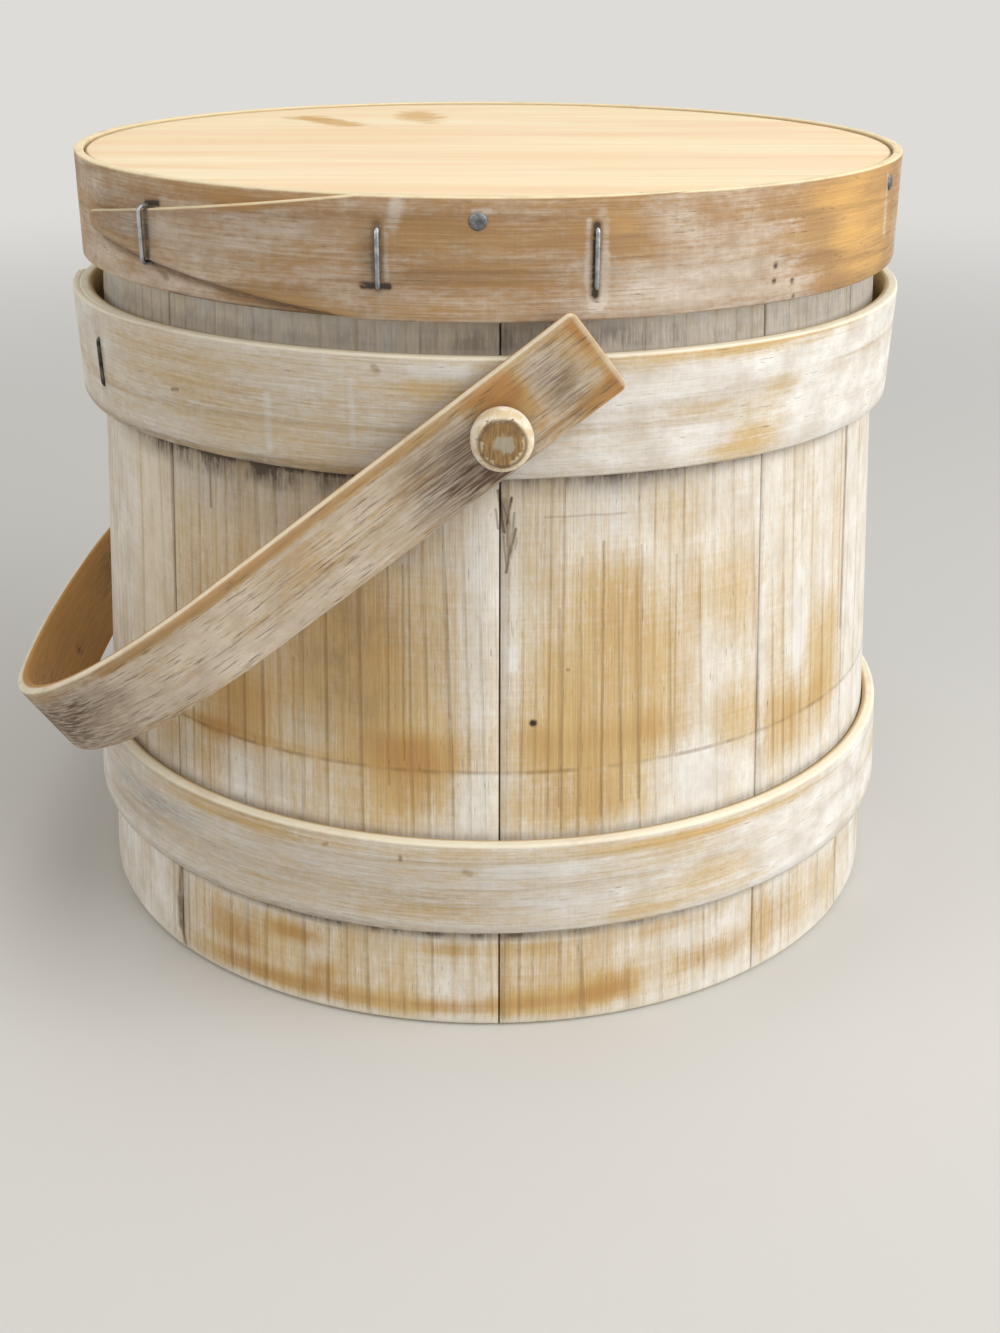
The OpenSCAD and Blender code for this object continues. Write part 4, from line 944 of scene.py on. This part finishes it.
# Lid staples: the same bent wire as in the hoops, driven through the tongue of the rim.
# They are brighter, because the lid is handled more.
bright_steel = steel("dull_zinc_wire", "#b4b7b9", "#85888b", 0.36)
staple_z = 220.75
lid_staples = grown(
    "bright_staples_lid", staple_tree,
    {"Height": 0.0145, "Leg": 0.0034, "Wire Radius": 0.00068, "Finish": bright_steel},
    driven_points("bright_staples_lid",
                  [(az, float(lap_face(rim, az, staple_z)), staple_z, 0) for az in (-47.3, -13.8, 10.8)]))
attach(lid_staples, "lid")
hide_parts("lid_staples")


# Lid nails: small flat-headed steel nails, driven through the rim into the edge of the board
# at even distances. Their heads lie a little proud and have dulled to grey.
nail_tree = bpy.data.node_groups.new("flat_head_nails", "GeometryNodeTree")
for label, kind in (("Points", "Geometry"), ("Head Radius", "Float"), ("Head Thickness", "Float"),
                    ("Shank Radius", "Float"), ("Length", "Float"), ("Finish", "Material")):
    nail_tree.interface.new_socket(label, in_out="INPUT", socket_type="NodeSocket" + kind)
nail_tree.interface.new_socket("Geometry", in_out="OUTPUT", socket_type="NodeSocketGeometry")
given = add(nail_tree, "NodeGroupInput").outputs
head = add(nail_tree, "GeometryNodeMeshCylinder",
           {"Vertices": 28, "Side Segments": 3, "Fill Segments": 5, "Radius": given["Head Radius"],
            "Depth": given["Head Thickness"]})
at = add(nail_tree, "GeometryNodeInputPosition")
flat_at = add(nail_tree, "ShaderNodeVectorMath", {0: at, 1: (1, 1, 0)}, operation="MULTIPLY")
away = add(nail_tree, "ShaderNodeVectorMath", {0: flat_at}, operation="LENGTH")
away = add(nail_tree, "ShaderNodeMath", {0: away.outputs["Value"], 1: given["Head Radius"]}, operation="DIVIDE")
away = add(nail_tree, "ShaderNodeMath", {0: away, 1: 4.0}, operation="POWER")
dome = add(nail_tree, "ShaderNodeMapRange", {"Value": away, "To Min": 1.0, "To Max": 0.35})
tall = add(nail_tree, "ShaderNodeCombineXYZ", {"X": 1.0, "Y": 1.0, "Z": dome})
domed = add(nail_tree, "ShaderNodeVectorMath", {0: at, 1: tall}, operation="MULTIPLY")
head = add(nail_tree, "GeometryNodeSetPosition", {"Geometry": head.outputs["Mesh"], "Position": domed})
shank = add(nail_tree, "GeometryNodeMeshCylinder",
            {"Vertices": 12, "Radius": given["Shank Radius"], "Depth": given["Length"]})
inward = add(nail_tree, "ShaderNodeMath", {0: given["Length"], 1: -0.5}, operation="MULTIPLY")
inward = add(nail_tree, "ShaderNodeCombineXYZ", {"Z": inward})
shank = add(nail_tree, "GeometryNodeSetPosition", {"Geometry": shank.outputs["Mesh"], "Offset": inward})
both = add(nail_tree, "GeometryNodeJoinGeometry", {"Geometry": head})
nail_tree.links.new(shank.outputs[0], both.inputs[0])
turn_of = add(nail_tree, "GeometryNodeInputNamedAttribute", {"Name": "turn"}, data_type="FLOAT_VECTOR")
shape = add(nail_tree, "GeometryNodeInstanceOnPoints",
            {"Points": given["Points"], "Instance": both, "Rotation": turn_of})
shape = add(nail_tree, "GeometryNodeRealizeInstances", {"Geometry": shape})
shape = add(nail_tree, "GeometryNodeSetShadeSmooth", {"Geometry": shape})
shape = add(nail_tree, "GeometryNodeSetMaterial", {"Geometry": shape, "Material": given["Finish"]})
add(nail_tree, "NodeGroupOutput", {0: shape})
nail_finish = steel("dulled_nail_steel", "#8d8f92", "#5d5f62", 0.5)
spots = []
for az in (-2.6, 63, 127, 190, 252):
    on_lap = rim["tip"] < az < rim["start"]
    spots.append((az, float(lap_face(rim, az, 230.3)) if on_lap else float(ring_face(rim, 230.3)), 230.3, math.pi / 2))
lid_nails = grown(
    "steel_nails_lid", nail_tree,
    {"Head Radius": 0.00225, "Head Thickness": 0.0009, "Shank Radius": 0.0009, "Length": 0.020, "Finish": nail_finish},
    driven_points("steel_nails_lid", spots))
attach(lid_nails, "lid")
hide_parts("lid_nails")


# Studio: a plain pale floor that runs into a pale backdrop, and soft light, brightest from the
# right and above, as by a window.
floor_mesh = bpy.data.meshes.new("floor")
around = [(40 * math.cos(t), 40 * math.sin(t), 0) for t in np.radians(np.arange(0, 360, 5))]
floor_mesh.from_pydata(around, [], [tuple(range(len(around)))])
floor = bpy.data.objects.new("floor", floor_mesh)
bpy.context.scene.collection.objects.link(floor)
floor_finish = bpy.data.materials.new("pale_studio_floor")
floor_finish.use_nodes = True
tree = floor_finish.node_tree
shader = tree.nodes["Principled BSDF"]
shader.inputs["Base Color"].default_value = paint("#cfcdc9")
shader.inputs["Roughness"].default_value = 0.9
# From 0.35 to 1.6 m off, what is seen of the floor turns to the backdrop's own pale tone
place = add(tree, "ShaderNodeTexCoord").outputs["Object"]
far = add(tree, "ShaderNodeVectorMath", {0: place}, operation="LENGTH")
far = add(tree, "ShaderNodeMapRange", {"Value": far.outputs["Value"], "From Min": 0.35, "From Max": 1.6},
          interpolation_type="SMOOTHSTEP")
ray = add(tree, "ShaderNodeLightPath")
seen = add(tree, "ShaderNodeMath", {0: ray.outputs["Is Camera Ray"], 1: ray.outputs["Is Glossy Ray"]},
           operation="MAXIMUM")
seen = add(tree, "ShaderNodeMath", {0: seen, 1: far}, operation="MULTIPLY")
backdrop = add(tree, "ShaderNodeEmission", {"Color": paint("#dedcd8"), "Strength": 1.0})
both = add(tree, "ShaderNodeMixShader", {0: seen, 1: shader, 2: backdrop})
tree.links.new(both.outputs[0], tree.nodes["Material Output"].inputs["Surface"])
floor_mesh.materials.append(floor_finish)
for name, place, size, power, tint in (
    ("window", (1.25, -0.75, 0.9), 1.5, 24, "#ffffff"), ("overhead", (0.1, -0.1, 1.9), 1.3, 12, "#ffffff"),
    ("front_fill", (-0.4, -2.0, 1.2), 1.2, 4.5, "#fffaf2"), ("left_fill", (-1.5, -0.5, 0.8), 1.0, 6.5, "#fffaf2"),
):
    lamp = bpy.data.objects.new(name, bpy.data.lights.new(name, "AREA"))
    lamp.data.size, lamp.data.energy, lamp.data.color = size, power, paint(tint)[:3]
    lamp.location = place
    towards = Vector((0, 0, 0.12)) - lamp.location
    lamp.rotation_euler = towards.to_track_quat("-Z", "Y").to_euler()
    bpy.context.scene.collection.objects.link(lamp)
world = bpy.data.worlds.new("studio")
bpy.context.scene.world = world
world.use_nodes = True
tree = world.node_tree
sky = tree.nodes["Background"]
sky.inputs["Color"].default_value = paint("#f3f3f1")
sky.inputs["Strength"].default_value = 0.32
seen = add(tree, "ShaderNodeBackground", {"Color": paint("#dedcd8"), "Strength": 1.0})
ray = add(tree, "ShaderNodeLightPath")
shown = add(tree, "ShaderNodeMath", {0: ray.outputs["Is Camera Ray"], 1: ray.outputs["Is Glossy Ray"]},
            operation="MAXIMUM")
both = add(tree, "ShaderNodeMixShader", {0: shown, 1: sky, 2: seen})
tree.links.new(both.outputs[0], tree.nodes["World Output"].inputs["Surface"])
